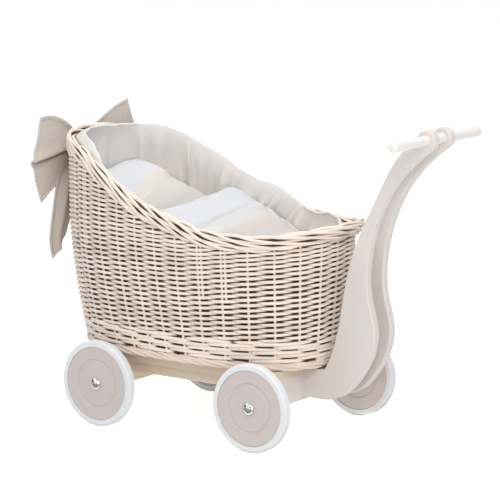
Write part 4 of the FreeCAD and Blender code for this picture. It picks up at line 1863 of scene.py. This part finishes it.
    def build(self) -> None:
        """Builds the bow's five pieces."""
        for hand in Hand:
            side = hand.name.lower()
            wing = self.wing(hand)
            finish_piece(wing, (f"{side}_bow_loop",))
            tail = self.tail(hand)
            finish_piece(tail, (f"{side}_bow_tail",))
        finish_piece(self.knot(), ("bow_knot",))


# ---------------------------------------------------------------------------- chassis and wheels
@dataclass
class Chassis:
    """The wooden chassis, the handle and the fixings, whose shapes are the CAD model's own."""

    finishes: dict[Finish, Sequence[str]] = field(default_factory=lambda: {
        # Parts under the basket wear the board paint with painted shade and warm bounce light.
        Finish.CHASSIS_PAINT: ("front_axle_beam", "left_side_rail", "right_side_rail", "base_board",
                               "handle_spacer"),
        Finish.BOARD_PAINT: ("rear_axle_beam", "left_handle_board", "right_handle_board"),
        Finish.HANDLE_PAINT: ("handlebar",),
        Finish.CHROME: ("axle_caps",),
        Finish.ZINC: ("axle_washers", "front_axle", "rear_axle", "base_screws", "basket_screws",
                      "handle_screws")})

    def build(self) -> None:
        """Dresses the nodes."""
        for finish, nodes in self.finishes.items():
            for node in nodes:
                finish.dress(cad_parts[node])
                LOG.info("%s dressed in %s", node, finish.name)


@dataclass
class Wheels:
    """Four turned wooden wheels with rubber tyres."""

    names: Sequence[str] = ("front_left", "front_right", "rear_left", "rear_right")

    def build(self) -> None:
        """Dresses the discs and tyres."""
        for name in self.names:
            Finish.WHEEL_PAINT.dress(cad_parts[f"{name}_wheel_disc"])
            Finish.RUBBER.dress(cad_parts[f"{name}_tyre"])
            LOG.info("%s wheel dressed", name)


# ---------------------------------------------------------------------------- studio
@dataclass
class Studio:
    """Camera, lamps and a pale floor."""

    target: tuple[float, float, float] = (0.00365, 0.0, 0.2853)
    azimuth: float = 35.39
    elevation: float = 9.68
    distance: float = 3.812
    lens: float = 171.0
    # Name, place, side and power of each lamp.
    lamps: Sequence[tuple[str, Sequence[float], float, float]] = (
        ("key_lamp", (2.0, -2.2, 2.0), 1.2, 35.0),
        ("top_lamp", (0.1, 0.0, 2.9), 1.2, 29.0),
        ("side_lamp", (-2.0, -1.7, 2.3), 1.0, 21.0),
        ("low_lamp", (2.5, -1.1, 0.5), 0.7, 9.0),
        ("fill_lamp", (0.7, -2.7, 0.22), 0.5, 3.5),
        ("under_lamp", (0.0, 0.0, 0.004), 0.30, 0.14))
    # Name, place, size and grey of each card; those below the limit lie flat.
    cards: Sequence[tuple[str, Sequence[float], Sequence[float], float]] = (
        ("dark_card_right", (2.2, -2.9, 1.2), (2.4, 1.6), 0.012),
        ("dark_card_left", (-3.0, -1.6, 1.0), (2.6, 2.0), 0.012),
        ("dark_card_high", (-0.6, -2.0, 3.4), (3.4, 1.4), 0.012),
        ("grey_card_low", (0.2, -0.85, 0.003), (2.4, 1.3), 0.30),
        ("dark_card_far", (1.4, -3.2, 0.004), (3.0, 2.6), 0.012))
    flat_below: float = 0.1
    world_light: float = 0.46
    world_colour: Colour = (0.97, 0.98, 1.0)
    floor_size: float = 16.0
    # The floor lights the object with one grey, and is seen in another with a glow.
    floor_grey: float = 0.82
    floor_seen: float = 0.55
    floor_glow: float = 0.80

    def camera(self) -> None:
        """Stands the camera to the left of the handle end."""
        side, lift = math.radians(self.azimuth), math.radians(self.elevation)
        away = Vector((math.sin(side) * math.cos(lift), -math.cos(side) * math.cos(lift), math.sin(lift)))
        camera = stand("camera", bpy.data.cameras.new("camera"))
        camera.data.lens = self.lens
        camera.location = Vector(self.target) + away * self.distance
        camera.rotation_euler = (-away).to_track_quat("-Z", "Y").to_euler()
        bpy.context.scene.camera = camera

    def lamp(self, name: str, place: Sequence[float], size: float, power: float) -> None:
        """Hangs a soft square lamp that faces the stroller.

        Args:
            name: Name of the lamp.
            place: Its middle.
            size: Its side.
            power: Its watts.
        """
        lamp = stand(name, bpy.data.lights.new(name, "AREA"))
        lamp.data.size = size
        lamp.data.energy = power
        lamp.location = place
        lamp.rotation_euler = (Vector(self.target) - Vector(place)).to_track_quat("-Z", "Y").to_euler()
        lamp.visible_camera = False

    def card(self, name: str, place: Sequence[float], size: Sequence[float], tone: float) -> None:
        """Places a card that only mirrors see, so that polished metal doesn't look white.

        Args:
            name: Name of the card.
            place: Its middle.
            size: Its two sides.
            tone: Its grey.
        """
        card = primitive(bpy.ops.mesh.primitive_plane_add, name, size=1.0, location=place)
        card.scale = (*size, 1.0)
        if place[2] > self.flat_below:
            card.rotation_euler = (Vector(place) - Vector((0, 0, 0.1))).to_track_quat("Z", "Y").to_euler()
        for ray in ("camera", "diffuse", "shadow", "transmission", "volume_scatter"):
            setattr(card, f"visible_{ray}", False)
        bench = FinishBench(name)
        bench.set(Base_Color=(tone, tone, tone, 1.0), Roughness=0.9, Specular_IOR_Level=0.0)
        card.data.materials.append(bench.material)

    def world(self) -> None:
        """White to look at, a soft grey light on the object."""
        world = bpy.data.worlds.new("studio")
        bpy.context.scene.world = world
        world.use_nodes = True
        bench = NodeBench(world.node_tree)
        seen = bench.join("ShaderNodeBackground", (1.0, 1.0, 1.0))
        light = bench.join("ShaderNodeBackground", self.world_colour, self.world_light)
        bench.show("ShaderNodeOutputWorld", bench.join("ShaderNodeMixShader", bench.seen_rays(), light, seen))

    def floor(self) -> None:
        """A wide pale floor that keeps a faint shadow."""
        floor = primitive(bpy.ops.mesh.primitive_plane_add, "studio_floor", size=self.floor_size,
                          location=(0, 0, 0))
        material = bpy.data.materials.new("studio_floor")
        material.use_nodes = True
        bench = NodeBench(material.node_tree)
        matt, pale = (bench.join("ShaderNodeBsdfDiffuse", (grey, grey, grey))
                      for grey in (self.floor_grey, self.floor_seen))
        glow = bench.add("ShaderNodeEmission", Strength=self.floor_glow).outputs["Emission"]
        seen = bench.join("ShaderNodeAddShader", pale, glow)
        bench.show("ShaderNodeOutputMaterial",
                   bench.join("ShaderNodeMixShader", bench.seen_rays(), matt, seen))
        floor.data.materials.append(material)

    def build(self) -> None:
        """Sets up the whole studio."""
        self.camera()
        self.world()
        self.floor()
        for lamp in self.lamps:
            self.lamp(*lamp)
        for card in self.cards:
            self.card(*card)
        bpy.context.scene.view_settings.view_transform = "Standard"


def main() -> None:
    """Builds the studio and every sub-assembly in order."""
    logging.basicConfig(level=logging.INFO, format="%(message)s")
    Studio().build()
    Chassis().build()
    Wheels().build()
    form = BasketForm()
    Basket(form).build()
    Lining(form).build()
    Bedding().build()
    Bow().build()


if __name__ == "__main__":
    main()
